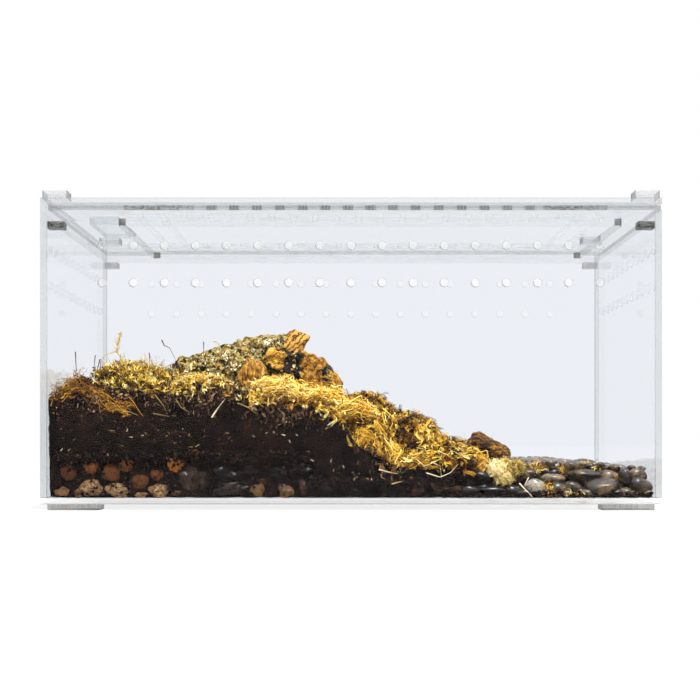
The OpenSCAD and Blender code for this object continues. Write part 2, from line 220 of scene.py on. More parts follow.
def ramp_of(wire, *stops):
    """A colour for each value, from stops of place and colour."""
    return wire.node("ShaderNodeValToRGB", {"stops": stops}, {"Fac": wire})


def mask_of(wire, low, high):
    """0 below the first value and 1 above the second."""
    return ramp_of(wire, (low, (0, 0, 0)), (high, (1, 1, 1)))


def mapped(here, **changes):
    """Coordinates with a Mapping node's Location, Rotation and Scale put to them."""
    return here.node("ShaderNodeMapping", {}, {"Vector": here, **changes})


def surface(here, inputs, height=None, depth=0.4, gloss=0.25):
    """The output of a material, with bump of that depth in millimetres."""
    if height is not None:
        inputs["Normal"] = here.node("ShaderNodeBump", {}, {"Height": height, "Strength": 1,
                                                            "Distance": depth * MM})
    inputs["Specular IOR Level"] = gloss
    shader = here.node("ShaderNodeBsdfPrincipled", {}, inputs)
    here.node("ShaderNodeOutputMaterial", {}, {"Surface": shader})


def acrylic(name, across, tint, sawn, dark, coat=0.08, grain=(1.6, 1.6, 0.06), shade_and_streaks=None,
            milk=0.35, dim=0.63, bored=None):
    """Clear acrylic sheet, thin along one axis, with milky sawn edges.

    Where an edge has a pattern of its own, a function of here and streak gives its darkness,
    painted shade and streaks; bored(here) is 1 in the drilled holes, polished and nearly clear.
    """
    material, here = finish(name)
    normal = here.node("ShaderNodeNewGeometry", {}, {}, "Normal")
    facing = here.node("ShaderNodeVectorMath", {"operation": "DOT_PRODUCT"},
                       {0: normal, 1: across}, "Value")
    edge = abs(facing) < EDGE_TURN
    if bored:
        edge = edge * (1 - bored(here) * 0.78)
    stretched = mapped(here, Scale=grain)
    streak = mask_of(noise_of(stretched, 1.1, 3, 0.6), 0.44, 0.62)
    # An edge darkens towards the dark colour where its painted shade or streaks lie.
    shade = mixed(shade_and_streaks(here, streak) if shade_and_streaks else streak, sawn, dark)
    clear = here.node("ShaderNodeBsdfPrincipled", {}, {
        "Base Color": mixed(edge, tint, shade), "Roughness": 0.0,
        "IOR": 1.002, "Transmission Weight": 1.0, "Coat Weight": coat, "Coat IOR": 1.49})
    # A part's dim darkens its milky edge: painted shade, set part by part.
    dimmed = mixed(edge * dim, shade, (0, 0, 0))
    milky = here.node("ShaderNodeBsdfPrincipled", {}, {"Base Color": dimmed, "Roughness": 0.3})
    sheet = here.node("ShaderNodeMixShader", {}, {0: edge * milk, 1: clear, 2: milky})
    path = here.node("ShaderNodeLightPath").socket.node
    lighting = here.math("MAXIMUM", Wire(here.tree, path.outputs["Is Shadow Ray"]),
                         Wire(here.tree, path.outputs["Is Diffuse Ray"]))
    lit = here.node("ShaderNodeBsdfTransparent", {}, {"Color": (0.97, 0.97, 0.97, 1)})
    both = here.node("ShaderNodeMixShader", {}, {0: lighting, 1: sheet, 2: lit})
    here.node("ShaderNodeOutputMaterial", {}, {"Surface": both})
    return material


def part_of(here, axis):
    """One of the object coordinates, in millimetres."""
    return here.node("ShaderNodeSeparateXYZ", {}, {"Vector": here}, axis)


def between(wire, low, high):
    """1 where the value lies between the two limits."""
    return (wire > low) * (wire < high)


LID_VENT_PITCH = 11
LID_DEPTH = 192
VENT_DASHES = (-77, 93)
OPENING_MIDDLE = 9.5


def lid_shade_and_streaks(here, streak):
    """Painted shade: dark dashes where the lid's vents show through its edge, and specks past them."""
    x = part_of(here, 0)
    turns = (x - OPENING_MIDDLE) / LID_VENT_PITCH
    dash = here.math("PINGPONG", turns, 0.5) < 0.22
    lines = here.math("PINGPONG", x / 1.6, 0.5) > 0.2
    specks = ramp_of(noise_of(here, 0.9, 3), (0.45, (0.25, 0.25, 0.25)), (0.6, (1, 1, 1)))
    first, last = VENT_DASHES
    ends = between(x, first - 33, first) + between(x, last, last + 31)
    pattern = dash * between(x, first, last) * (lines * 0.5 + 0.35) + ends * specks + streak * 0.15
    # A grey band of painted shade along the front and back edges, fainter at the back, faint on the
    # sides.
    y = part_of(here, 1)
    rim = abs(y) > LID_DEPTH / 2 - 1
    front = (y < 0) * 0.8 + 0.2
    return (pattern * 0.95 + 0.24) * rim * front + (1 - rim) * 0.1


def lid_bores(here):
    """1 in the lid's vents."""
    inner = LID_DEPTH / 2 - 1
    return between(part_of(here, 0), -130, 140) * between(part_of(here, 1), -inner, inner)


def frame_shade_and_streaks(here, streak):
    """The access opening's corners look dark, because light is caught in them."""
    x, y = part_of(here, 0), part_of(here, 1)
    across = abs(x - OPENING_MIDDLE)
    corner = between(across, 121.5, 126) * between(abs(y), 71.5, 76)
    corner = corner * between(part_of(here, 2), 140.8, 144.2)
    # The opening's sides get a little painted shade too.
    sides = between(across, 124, 126) * (abs(y) < 75.5)
    return corner + sides * 0.2 + streak * 0.12


BLOCK_MIDDLE = 143.5


def block_shade_and_streaks(here, streak):
    """A stacking block's upright corners look dark: painted shade, with faint streaks."""
    from_middle = abs(abs(part_of(here, 0)) - BLOCK_MIDDLE)
    return (from_middle > 5.5) * 0.7 + streak * 0.06


RAIL_MIDDLE = 149.5


def rail_shade_and_streaks(here, streak):
    """A thin grey line of painted shade along a rail's top and bottom edge, and faint streaks."""
    return (abs(part_of(here, 2) - RAIL_MIDDLE) > 1.2) * 0.5 + streak * 0.08


def base_shade_and_streaks(here, streak):
    """A thin grey line of painted shade along the base plate's bottom edge, and faint streaks."""
    return (part_of(here, 2) < 3.45) * 0.6 + streak * 0.08


def soft_marks(here, streak):
    """Faint streaks on a wall's outer edges."""
    return streak * 0.4


def wall_bores(here):
    """1 in a wall's vents."""
    x, y, z = (abs(part_of(here, axis)) for axis in (0, 1, 2))
    return ((x < 146) + (y < 96) > 0.5) * between(z, 104, 134)


# How far a face may turn from the sheet's own direction before it counts as sawn edge.
EDGE_TURN = 0.7
LEVEL = (0.955, 0.965, 0.975)
SAWN = (0.81, 0.84, 0.875)
SAWN_DARK = (0.66, 0.68, 0.69)
LEVEL_GRAIN = (0.12, 0.12, 1.6)
SIDE_WALL = acrylic("clear_side_wall", (1, 0, 0), (0.94, 0.95, 0.965), (0.74, 0.765, 0.79),
                    (0.62, 0.64, 0.65), 0.55, shade_and_streaks=soft_marks, milk=0.2, dim=0.8, bored=wall_bores)
LEVEL_SHEET = acrylic("clear_sheet", (0, 0, 1), LEVEL, SAWN, SAWN_DARK, grain=LEVEL_GRAIN)
# The look of every enclosure part, by how its name starts.
# All are one clear acrylic: the tints, edge greys and dims that differ by part are painted light and
# shade.
LOOKS = {
    "front_panel": acrylic("clear_wall", (0, 1, 0), (0.88, 0.90, 0.932), SAWN, SAWN_DARK,
                           shade_and_streaks=soft_marks, bored=wall_bores),
    "back_panel": acrylic("clear_back_wall", (0, 1, 0), (0.953, 0.959, 0.978), SAWN, SAWN_DARK,
                          shade_and_streaks=soft_marks, bored=wall_bores),
    "left_panel": SIDE_WALL,
    "right_panel": SIDE_WALL,
    "access_frame": acrylic("clear_frame", (0, 0, 1), (0.952, 0.953, 0.945), (0.95, 0.96, 0.965),
                            (0.12, 0.11, 0.09), grain=LEVEL_GRAIN, shade_and_streaks=frame_shade_and_streaks, milk=0.12),
    "front_rail": acrylic("clear_rail", (0, 0, 1), LEVEL, (0.86, 0.885, 0.91), (0.35, 0.36, 0.36),
                          grain=LEVEL_GRAIN, shade_and_streaks=rail_shade_and_streaks, dim=0.71),
    "back_rail": acrylic("clear_back_rail", (0, 0, 1), LEVEL, (0.95, 0.96, 0.975),
                         (0.6, 0.61, 0.62), grain=LEVEL_GRAIN, shade_and_streaks=soft_marks, milk=0.3, dim=0.55),
    "stacking": acrylic("clear_block", (0, 0, 1), LEVEL, (0.82, 0.84, 0.85), (0.16, 0.16, 0.15),
                        grain=(0.3, 0.3, 0.3), shade_and_streaks=block_shade_and_streaks, dim=0.66),
    "lid_plate": acrylic("clear_lid", (0, 0, 1), (0.926, 0.941, 0.949), (0.80, 0.81, 0.80),
                         (0.13, 0.12, 0.10), grain=LEVEL_GRAIN, shade_and_streaks=lid_shade_and_streaks, dim=0.75,
                         bored=lid_bores),
    "lid_pull": LEVEL_SHEET,
    "foot": acrylic("clear_foot", (0, 0, 1), (0.9, 0.91, 0.91), (0.72, 0.72, 0.71),
                    (0.42, 0.42, 0.40), dim=0.7),
    # The frame's front block is clear acrylic too; its near-black colour is painted shade.
    "frame_block_front": acrylic("dark_block", (0, 0, 1), (0.6, 0.6, 0.58), (0.30, 0.29, 0.26),
                                 (0.03, 0.03, 0.025), grain=(0.3, 0.3, 1.2)),
    "frame_block_back": acrylic("pale_block", (0, 0, 1), (0.85, 0.86, 0.86), (0.72, 0.73, 0.73),
                                (0.5, 0.5, 0.5)),
    "base_plate": acrylic("clear_base", (0, 0, 1), LEVEL, (0.98, 0.99, 1.0), (0.45, 0.46, 0.46),
                          grain=LEVEL_GRAIN, shade_and_streaks=base_shade_and_streaks, dim=0.28)}


def piece(name, mesh, look, replaces=(), smooth=True, body="enclosure"):
    """A finished piece, which rides with one of the two bodies."""
    if isinstance(mesh, bmesh.types.BMesh):
        data = bpy.data.meshes.new(name)
        mesh.to_mesh(data)
        mesh.free()
        mesh = data
    if smooth:
        mesh.polygons.foreach_set("use_smooth", [True] * len(mesh.polygons))
    made = bpy.data.objects.new(name, mesh)
    mesh.materials.append(look)
    bpy.context.scene.collection.objects.link(made)
    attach(made, body)
    if replaces:
        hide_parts(*replaces)
    return made


# Each part is drawn a few hundredths of a millimetre smaller all round, so that two
# glued faces never lie in one plane.
JOINT_GAP = 0.03 * MM
for name, part in nodes.items():
    look = next((look for start, look in LOOKS.items() if name.startswith(start)), None)
    if look is None:
        continue
    clear = bmesh.new()
    clear.from_mesh(part.data)
    bmesh.ops.remove_doubles(clear, verts=clear.verts, dist=0.002 * MM)
    clear.normal_update()
    moves = [v.normal * v.calc_shell_factor() * -JOINT_GAP for v in clear.verts]
    for v, move in zip(clear.verts, moves):
        v.co += move
    start = name.split("_")[0]
    piece(name + "_clear", clear, look, [name], False, "lid" if start == "lid" else "enclosure")

# Each wall vent's rim gets a thin grey crescent of painted shade, darkest at its lower left.
rim_shade_look, here = finish("vent_rim")
shade = here.node("ShaderNodeAttribute", {"attribute_name": "tone"}, {}, "Fac")
surface(here, {"Base Color": (0.20, 0.20, 0.21, 1), "Roughness": 0.5, "Alpha": shade})
VENT_ROWS = (128, 110)
RIM_SIDES = 24
# Radius of each ring of points round a vent, and how dark its painted shade is.
RIM_RINGS = ((1.8, 1.0), (2.2, 1.0), (2.6, 0))
# The face's place, the vents along it and how dark the painted shade on their rims is.
WALL_VENTS = [("front", -99.9, [(i - 8) * 15 for i in range(17)], 1.0),
              ("back", 99.9, [(i - 8) * 15 for i in range(17)], 0.15),
              ("left", -149.9, [(i - 5) * 16 for i in range(11)], 0.12),
              ("right", 149.9, [(i - 5) * 16 for i in range(11)], 0.8)]
for side, out, along, dark in WALL_VENTS:
    rims = bmesh.new()
    tone = rims.verts.layers.float.new("tone")
    for z in VENT_ROWS:
        for place in along:
            rings = []
            for radius, share in RIM_RINGS:
                ring = []
                for k in range(RIM_SIDES):
                    turn = 2 * math.pi * k / RIM_SIDES
                    a, b = place + radius * math.cos(turn), z + radius * math.sin(turn)
                    spot = (a, out, b) if side in ("front", "back") else (out, a, b)
                    vert = rims.verts.new([value * MM for value in spot])
                    # Painted shade, darkest towards the rim's lower left.
                    vert[tone] = dark * share * (0.14 + 0.86 * max(0, -math.cos(turn - 0.75)))
                    ring.append(vert)
                rings.append(ring)
            for inner, outer in zip(rings, rings[1:]):
                for k in range(RIM_SIDES):
                    rims.faces.new((inner[k - 1], inner[k], outer[k], outer[k - 1]))
    piece(side + "_vent_rims", rims, rim_shade_look, smooth=False)

# ------------------------------------------------------------------ soil
# Damp dark peat with reddish fibres and pale crumbs, pressed against the walls.
# It fills the space round the drainage balls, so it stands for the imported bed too.

chance = random.Random(4)


def body_of_node(name):
    """A bmesh of a CAD node, with its loose triangles joined."""
    bm = bmesh.new()
    bm.from_mesh(nodes[name].data)
    bmesh.ops.remove_doubles(bm, verts=bm.verts, dist=0.01 * MM)
    return bm


def refine(bm, longest):
    """Cuts every edge that is longer, until none is."""
    for _ in range(5):
        long_edges = [e for e in bm.edges if e.calc_length() > longest]
        if not long_edges:
            return
        bmesh.ops.subdivide_edges(bm, edges=long_edges, cuts=1, use_grid_fill=True)
        bmesh.ops.triangulate(bm, faces=[f for f in bm.faces if len(f.verts) > 3])


def lump(place, size):
    """Smooth noise from -1 to 1 over lumps of that size in millimetres."""
    return noise.noise(place / (size * MM))


wall_x, wall_y = -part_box("soil_bed")[0].x, -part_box("soil_bed")[0].y
floor_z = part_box("drainage_bed")[0].z


def keep_inside(bm, gap=0.0):
    """Holds every vertex within the walls and on the base plate."""
    for v in bm.verts:
        v.co.x = min(wall_x - gap, max(-wall_x + gap, v.co.x))
        v.co.y = min(wall_y - gap, max(-wall_y + gap, v.co.y))
        v.co.z = max(floor_z, v.co.z)


soil_look, here = finish("damp_peat")
grain = noise_of(here, 1.3, 6, 0.7)
clods = noise_of(here, 11, 4)
fleck = mask_of(noise_of(here, 0.8, 3, 0.6), 0.60, 0.70)
rust = mask_of(noise_of(here, 2.6, 5, 0.7), 0.50, 0.66)
dark = ramp_of(clods, (0.38, (0.002, 0.0017, 0.0017)), (0.62, (0.007, 0.0045, 0.0038)))
warm = mixed(rust * clods * 0.8, dark, (0.04, 0.017, 0.009))
soil_colour = mixed(fleck * clods * 0.7, warm, (0.10, 0.05, 0.028))
surface(here, {"Base Color": soil_colour, "Roughness": 0.8}, grain, 0.9, 0.03)

# Height of the soil's top against the front wall, along it. It dips and humps.
SOIL_LINE = [(-147, 54), (-141, 58), (-134, 63.5), (-128, 62.5), (-121, 59), (-111, 58.5), (-97, 56),
             (-84, 56), (-75, 57.5), (-66, 60), (-60, 57), (-55, 60), (-46, 52), (-21, 49), (-5, 43),
             (3, 30.5), (12, 26), (21, 22), (40, 20.5), (60, 19.5)]
line_x, line_z = zip(*SOIL_LINE)
BED_STEP = -19.8


def plain_top(x):
    """Height of the solid's soil along the front wall, with its mound and no lumps."""
    t = min(1, max(0, (x + 18.6) / 48))
    mound = 12 * math.exp(-((x + 133.7) ** 2 + 49) / 162)
    return 52 - 33 * t * t * (3 - 2 * t) + mound


def settle(co):
    """How far the soil's front line moves a point of the ground upwards."""
    x, behind, z = co.x / MM, (co.y + wall_y) / MM, co.z / MM
    bottom = 26 if x < BED_STEP else 14
    share = min(1, max(0, (z - bottom) / (plain_top(x) - bottom)))
    reach = 34 if x < -115 else 16
    return (np.interp(x, line_x, line_z) - plain_top(x)) * share * math.exp(-(behind / reach) ** 2) * MM


soil = body_of_node("soil_bed")
refine(soil, 3.6 * MM)
for v in soil.verts:
    push = 1.0 * lump(v.co, 6) + 0.6 * lump(v.co, 1.9)
    back = 0
    if v.co.y < -wall_y + 0.6 * MM:
        lowest = 26 if v.co.x < BED_STEP * MM else 14
        back = 0.9 + 2.2 * max(0, 1 - (v.co.z / MM - lowest) / 5)
    v.co += v.normal * push * MM + Vector((0, back * MM, settle(v.co)))
keep_inside(soil)
soil_piece = piece("soil", soil, soil_look, ["soil_bed"])

BED_FRONT = 4.2 * MM
bed_low, bed_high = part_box("drainage_bed")
low_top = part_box("drainage_stones")[0].z + 8 * MM
bed = bmesh.new()
for left_end, right_end, top in ((bed_low.x, BED_STEP * MM, bed_high.z),
                               (BED_STEP * MM, bed_high.x, low_top)):
    block = bmesh.ops.create_cube(bed, size=1)["verts"]
    for v in block:
        v.co.x = right_end if v.co.x > 0 else left_end
        v.co.y = bed_high.y if v.co.y > 0 else bed_low.y + BED_FRONT
        v.co.z = top + 0.6 * MM if v.co.z > 0 else bed_low.z
refine(bed, 4.5 * MM)
for v in bed.verts:
    v.co += v.normal * (0.8 * lump(v.co, 4.5) + 0.5 * lump(v.co, 1.7)) * MM
keep_inside(bed)
piece("packed_bed", bed, soil_look, ["drainage_bed"])

# ------------------------------------------------ clay balls and stones
# Fired clay balls, broken clay and dark stones lie against the front wall, half
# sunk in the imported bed. They are loose, and the peat holds them.


def rough_stone(size, seed, bumps, amount, level=3):
    """A stone of that size with low bumps, about the origin."""
    bm = bmesh.new()
    bmesh.ops.create_icosphere(bm, subdivisions=level, radius=0.5)
    offset = Vector((seed * 7.3, seed * 3.1, seed * 5.7))
    for v in bm.verts:
        v.co *= 1 + amount * noise.noise(v.co * bumps + offset)
    bmesh.ops.scale(bm, verts=bm.verts, vec=size)
    return bm


def gather(parts, tones):
    """One mesh of many triangle meshes, each one's tone from 0 to 1 in an attribute."""
    points, corners, shades = [], [], []
    count = 0
    for (verts, faces), tone in zip(parts, tones):
        points.append(verts)
        corners.append(faces + count)
        shades.append(np.broadcast_to(np.float32(tone), len(verts)))
        count += len(verts)
    data = bpy.data.meshes.new("gathered")
    points = np.concatenate(points).astype(np.float32)
    corners = np.concatenate(corners).astype(np.int32)
    data.vertices.add(len(points))
    data.vertices.foreach_set("co", points.ravel())
    data.loops.add(corners.size)
    data.loops.foreach_set("vertex_index", corners.ravel())
    data.polygons.add(len(corners))
    data.polygons.foreach_set("loop_start", np.arange(0, corners.size, 3, dtype=np.int32))
    data.update(calc_edges=True)
    data.attributes.new("tone", "FLOAT", "POINT").data.foreach_set("value", np.concatenate(shades))
    return data


def arrays(bm):
    """A bmesh as points and triangles, and frees it."""
    bmesh.ops.triangulate(bm, faces=bm.faces)
    bm.verts.index_update()
    verts = np.array([v.co for v in bm.verts])
    faces = np.array([[v.index for v in f.verts] for f in bm.faces])
    bm.free()
    return verts, faces


def placed(shape, place, turn=(0, 0, 0), scale=1.0):
    """A shape's arrays, scaled, turned and moved."""
    verts, faces = shape
    turned = np.array(Euler(turn).to_matrix())
    return (verts * scale) @ turned.T + np.array(place), faces


def tone_of(here):
    """The tone that gather() gives each shape of a piece, from 0 to 1."""
    return here.node("ShaderNodeAttribute", {"attribute_name": "tone"}, {}, "Fac")


def toned(name, rough, *stops, gloss=0.25):
    """A plain material whose colour follows the tone of each shape of a piece."""
    material, here = finish(name)
    surface(here, {"Base Color": ramp_of(tone_of(here), *stops), "Roughness": rough}, gloss=gloss)
    return material


ball_look, here = finish("fired_clay")
tone = tone_of(here)
pits = noise_of(here, 0.8, 4, 0.6)
blotch = noise_of(here, 3.0, 3)
shell = mixed(tone, (0.055, 0.020, 0.009), (0.40, 0.13, 0.02))
dirt = mask_of(blotch, 0.35, 0.75)
shell = mixed(dirt * 0.85, shell, (0.030, 0.014, 0.008))
shell = mixed(mask_of(pits, 0.46, 0.66) * 0.6, shell, (0.016, 0.008, 0.005))
surface(here, {"Base Color": shell, "Roughness": 0.8}, pits, 0.7, 0.06)

row_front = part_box("clay_balls")[0].y
# Along the wall, height above the table, diameter and how bright, for each ball that shows.
BALLS = [(-137.4, 18.5, 8.4, 0.10), (-126.8, 21.2, 8.8, 0.3), (-116.6, 18.2, 9.8, 0.16),
         (-109.6, 21.9, 7.6, 0.32), (-102.7, 13.9, 9.0, 0.22), (-94.4, 17.5, 6.6, 0.18),
         (-85.3, 22.1, 8.4, 1.0), (-76.2, 27.8, 7.4, 0.16), (-126.5, 29.5, 4.0, 0.25)]
balls, tones = [], []
for i, (x, z, size, bright) in enumerate(BALLS):
    size *= 1.06 * MM
    shape = arrays(rough_stone((size, size, size * 0.95), i, 3.0, 0.16))
    balls.append(placed(shape, (x * MM, row_front + size / 2 + 0.1 * MM, z * MM)))
    tones.append(bright)
piece("drainage_balls", gather(balls, tones), ball_look, ["clay_balls"])

shard_look, here = finish("broken_clay")
tone = tone_of(here)
holes = noise_of(here, 1.1, 5, 0.7)
dents = mask_of(holes, 0.36, 0.56)
core = mixed(tone, (0.10, 0.05, 0.024), (0.46, 0.28, 0.13))
core = mixed(noise_of(here, 4, 3) * 0.6, core, (0.16, 0.07, 0.03))
surface(here, {"Base Color": mixed(dents, (0.07, 0.035, 0.018), core), "Roughness": 0.85},
        dents, 0.9, 0.06)

# Along the wall, height, length and thickness of each piece of broken clay.
SHARDS = [(-140.3, 8.8, 8.5, 5.2, 0.35), (-126.5, 10.9, 13.2, 9.6, 0.8),
          (-112.9, 9.9, 13.8, 8.0, 0.95), (-93.8, 9.6, 10.6, 7.4, 0.9),
          (-102.2, 7.5, 7.5, 2.8, 0.9), (-132.8, 8.2, 5.4, 4.2, 0.1)]
shards, tones = [], []
for i, (x, z, length, thick, bright) in enumerate(SHARDS):
    shape = rough_stone((length * MM, 8 * MM, thick * MM), i + 20, 2.4, 0.42, 4)
    shards.append(placed(arrays(shape), (x * MM, row_front + 4.2 * MM, z * MM)))
    tones.append(bright)
piece("broken_clay", gather(shards, tones), shard_look, ["clay_shards"])

# ------------------------------------------------------------ dark stones
# Broken slate, grit and brown clay lie loose under the soil, wet and nearly black.


def wet(here, amount):
    """How much wet coat a stone has: only its upper sides catch the light."""
    normal = here.node("ShaderNodeNewGeometry", {}, {}, "Normal")
    return mask_of(part_of(normal, 2), 0.08, 0.6) * amount


stone_look, here = finish("dark_stone")
tone = tone_of(here)
speck = noise_of(here, 1.1, 5, 0.65)
pale = mask_of(speck, 0.52, 0.66)
slate = ramp_of(tone, (0, (0.005, 0.005, 0.005)), (0.45, (0.030, 0.020, 0.016)),
                (0.75, (0.085, 0.030, 0.010)), (1, (0.34, 0.18, 0.06)))
slate = mixed(noise_of(here, 3, 3) * 0.9, slate, (0.004, 0.0035, 0.003))
slate = mixed(pale * (0.12 + tone * 0.7), slate, (0.19, 0.14, 0.10))
surface(here, {"Base Color": slate, "Roughness": 0.6, "Coat Weight": wet(here, 0.55),
               "Coat Roughness": 0.25}, speck, 1.4, 0.02)

# Along the wall, height, length, thickness and how pale, for each stone that shows.
STONES = [(-78.9, 15.5, 10, 12.6, 0.5), (-84.8, 8.3, 5.3, 3.4, 0.62), (-72.2, 14.9, 4.4, 8.8, 0.42),
          (-61.7, 17.5, 13.5, 8.8, 0.02), (-57.7, 10.3, 19, 6.4, 0.3), (-45.4, 9.6, 6.6, 6.4, 0.85),
          (-49.7, 20.2, 7.5, 4.5, 0.3), (-31.2, 9.2, 8.2, 6.6, 0.85), (-23.3, 12, 4.4, 8.2, 0.6),
          (-43.1, 14, 4, 3.2, 0.6), (-11.2, 10.7, 10.5, 6.8, 0.14), (-36, 18, 9, 5, 0.1),
          (11.4, 14.9, 13.5, 6.4, 0.08), (32.2, 9.8, 9.5, 5.6, 0.6), (42.3, 11.1, 6.4, 7.2, 0.55),
          (51, 10.3, 11, 4.4, 0.7), (1, 9, 9, 5, 0.05), (21, 9.5, 10, 6, 0.1), (-22, 20, 10, 6, 0.05)]
stones, tones = [], []
for i, (x, z, length, thick, bright) in enumerate(STONES):
    shape = arrays(rough_stone((length * MM, 6.4 * MM, thick * MM), i + 50, 2.8, 0.45, 4))
    place = (x * MM, row_front + 3.6 * MM, z * MM)
    stones.append(placed(shape, place, (0, chance.uniform(-0.15, 0.15), 0)))
    tones.append(bright)
grit = arrays(rough_stone((1, 0.8, 0.7), 71, 1.8, 0.3, 1))
for _ in range(360):
    x, z = chance.uniform(-144, 62), chance.uniform(6.5, 25)
    size = chance.uniform(0.5, 1.8) * MM
    depth = row_front + chance.uniform(1.2, 3.2) * MM
    turn = [chance.uniform(0, 6) for _ in range(3)]
    stones.append(placed(grit, (x * MM, depth, z * MM), turn, size))
    tones.append(chance.choice((0.05, 0.1, 0.3, 0.5, 0.75)))
piece("dark_stones", gather(stones, tones), stone_look, ["drainage_stones"])

# ------------------------------------------------------------- green moss
# A dark mat of dead moss, with living green and straw-coloured fronds all over it.
# It lies loose on the soil and slopes back from the front wall.


def thread(points, radius):
    """Points and triangles of a three-sided thread that narrows along its points."""
    points = [Vector(point) for point in points]
    side = (points[1] - points[0]).orthogonal()
    verts, faces = [], []
    for i, point in enumerate(points):
        ahead = (points[min(i + 1, len(points) - 1)] - points[max(i - 1, 0)]).normalized()
        side = (side - ahead * side.dot(ahead)).normalized()
        across = ahead.cross(side)
        thick = radius * (1 - 0.7 * i / (len(points) - 1))
        for turn in (0, 2.1, 4.2):
            verts.append(point + thick * (math.cos(turn) * side + math.sin(turn) * across))
        if i:
            low = 3 * (i - 1)
            for a, b in ((low, low + 1), (low + 1, low + 2), (low + 2, low)):
                faces += [(a, b, b + 3), (a, b + 3, a + 3)]
    return np.array(verts), np.array(faces)


def ribbon(points, width, facing=(0.2, 0.1, 1)):
    """Points and triangles of a flat strip that narrows along its points."""
    points = [Vector(point) for point in points]
    verts, faces = [], []
    for i, point in enumerate(points):
        ahead = points[min(i + 1, len(points) - 1)] - points[max(i - 1, 0)]
        across = ahead.cross(Vector(facing)).normalized()
        half = width / 2 * (1 - 0.6 * i / (len(points) - 1))
        verts += [point - half * across, point + half * across]
        if i:
            low = 2 * (i - 1)
            faces += [(low, low + 1, low + 3), (low, low + 3, low + 2)]
    return np.array(verts), np.array(faces)


def joined(shapes):
    """Several shapes' arrays as one."""
    counts = np.cumsum([0] + [len(verts) for verts, _ in shapes])
    return (np.concatenate([verts for verts, _ in shapes]),
            np.concatenate([faces + start for (_, faces), start in zip(shapes, counts)]))


def unit(vectors):
    """The vectors, each one long."""
    return vectors / np.maximum(np.linalg.norm(vectors, axis=-1, keepdims=True), 1e-9)


def ways(count, rng):
    """Random directions."""
    return unit(rng.normal(size=(count, 3)))


def sown(ground, count, rng, favour):
    """Random places on an object's mesh with their normals, thicker where it is favoured."""
    mesh = ground.data
    mesh.calc_loop_triangles()
    points = np.empty(len(mesh.vertices) * 3)
    mesh.vertices.foreach_get("co", points)
    corners = np.empty(len(mesh.loop_triangles) * 3, np.int32)
    mesh.loop_triangles.foreach_get("vertices", corners)
    a, b, c = (points.reshape(-1, 3)[corners.reshape(-1, 3)[:, k]] for k in range(3))
    normal = np.cross(b - a, c - a)
    weight = np.linalg.norm(normal, axis=1) * favour((a + b + c) / 3, unit(normal))
    pick = rng.choice(len(weight), count, p=weight / weight.sum())
    u, v = rng.random((2, count, 1))
    u, v = np.where(u + v > 1, 1 - u, u), np.where(u + v > 1, 1 - v, v)
    return a[pick] + u * (b - a)[pick] + v * (c - a)[pick], unit(normal)[pick]


def strewn(shapes, places, ahead, up, scales, tones, rng, fade=0.0):
    """Copies of a few shapes as one mesh. Each copy's X runs ahead and its Z up.

    A copy's tone is less at its root, by fade.
    """
    ahead = unit(ahead)
    side = unit(np.cross(up, ahead))
    turn = np.stack([ahead, side, np.cross(ahead, side)], axis=2) * scales[:, None, None]
    pick = rng.integers(len(shapes), size=len(places))
    parts, shades = [], []
    for k, (verts, faces) in enumerate(shapes):
        mine = pick == k
        moved = np.einsum("nij,vj->nvi", turn[mine], verts) + places[mine, None]
        each = faces[None] + (np.arange(mine.sum()) * len(verts))[:, None, None]
        parts.append((moved.reshape(-1, 3), each.reshape(-1, 3)))
        root = 1 - np.clip(verts[:, 0] / verts[:, 0].max(), 0, 1)
        shades.append((tones[mine, None] - fade * root).ravel())
    for verts, _ in parts:
        np.clip(verts[:, 0], -wall_x, wall_x, out=verts[:, 0])
        np.clip(verts[:, 1], -wall_y, wall_y, out=verts[:, 1])
        np.clip(verts[:, 2], floor_z, None, out=verts[:, 2])
    return gather(parts, shades)


def frond(seed, leaves, length=6.5):
    """A curled moss stem with narrow leaves all round it, in metres."""
    pick = random.Random(seed)
    bend, sway = pick.uniform(0.8, 2.6), pick.uniform(-2.2, 2.2)

    def along(t):
        return Vector((length * t, sway * math.sin(2.2 * t), bend * math.sin(2.6 * t))) * MM

    shapes = [thread([along(t) for t in (0, 0.35, 0.7, 1)], 0.26 * MM)]
    for i in range(leaves):
        root = along(0.1 + 0.9 * i / leaves)
        turn = pick.uniform(0, 6.28)
        out = Vector((0.55, math.cos(turn), math.sin(turn))) * pick.uniform(1.4, 2.9) * MM
        half = Vector((0.40, 0.15, -0.2)) * MM
        shapes.append((np.array([root - half, root + half, root + out]), np.array([[0, 1, 2]])))
    return joined(shapes)


def combed(path, count, spread, width, tones, facing=(0.1, -1, 0.3)):
    """Long wavy fibres, side by side along one path in millimetres, with their tones."""
    path = np.array(path, float)
    steps = np.concatenate([[0], np.cumsum(np.linalg.norm(np.diff(path, axis=0), axis=1))])
    parts, shades = [], []
    for _ in range(count):
        start, reach = rng.uniform(0, 0.95), rng.uniform(3, 8) / steps[-1]
        places = np.linspace(start, min(1, start + reach), 7)
        line = np.stack([np.interp(places * steps[-1], steps, path[:, k]) for k in range(3)], axis=1)
        aside = rng.normal(size=3) * spread * 0.62
        slant = np.outer(np.linspace(-1, 1, 7), rng.normal(size=3) * 0.9)
        turns = np.linspace(0, rng.uniform(3, 9), 7) + rng.uniform(0, 6)
        wave = np.sin(turns)[:, None] * rng.normal(size=3) * 0.85
        strip = (line + aside + slant + wave) * MM
        verts, faces = ribbon(strip, rng.uniform(0.4, 0.9) * width * MM, facing)
        np.clip(verts[:, 1], -wall_y, wall_y, out=verts[:, 1])
        np.clip(verts[:, 0], -wall_x, wall_x, out=verts[:, 0])
        parts.append((verts, faces))
        shades.append(rng.uniform(*tones))
    return parts, shades


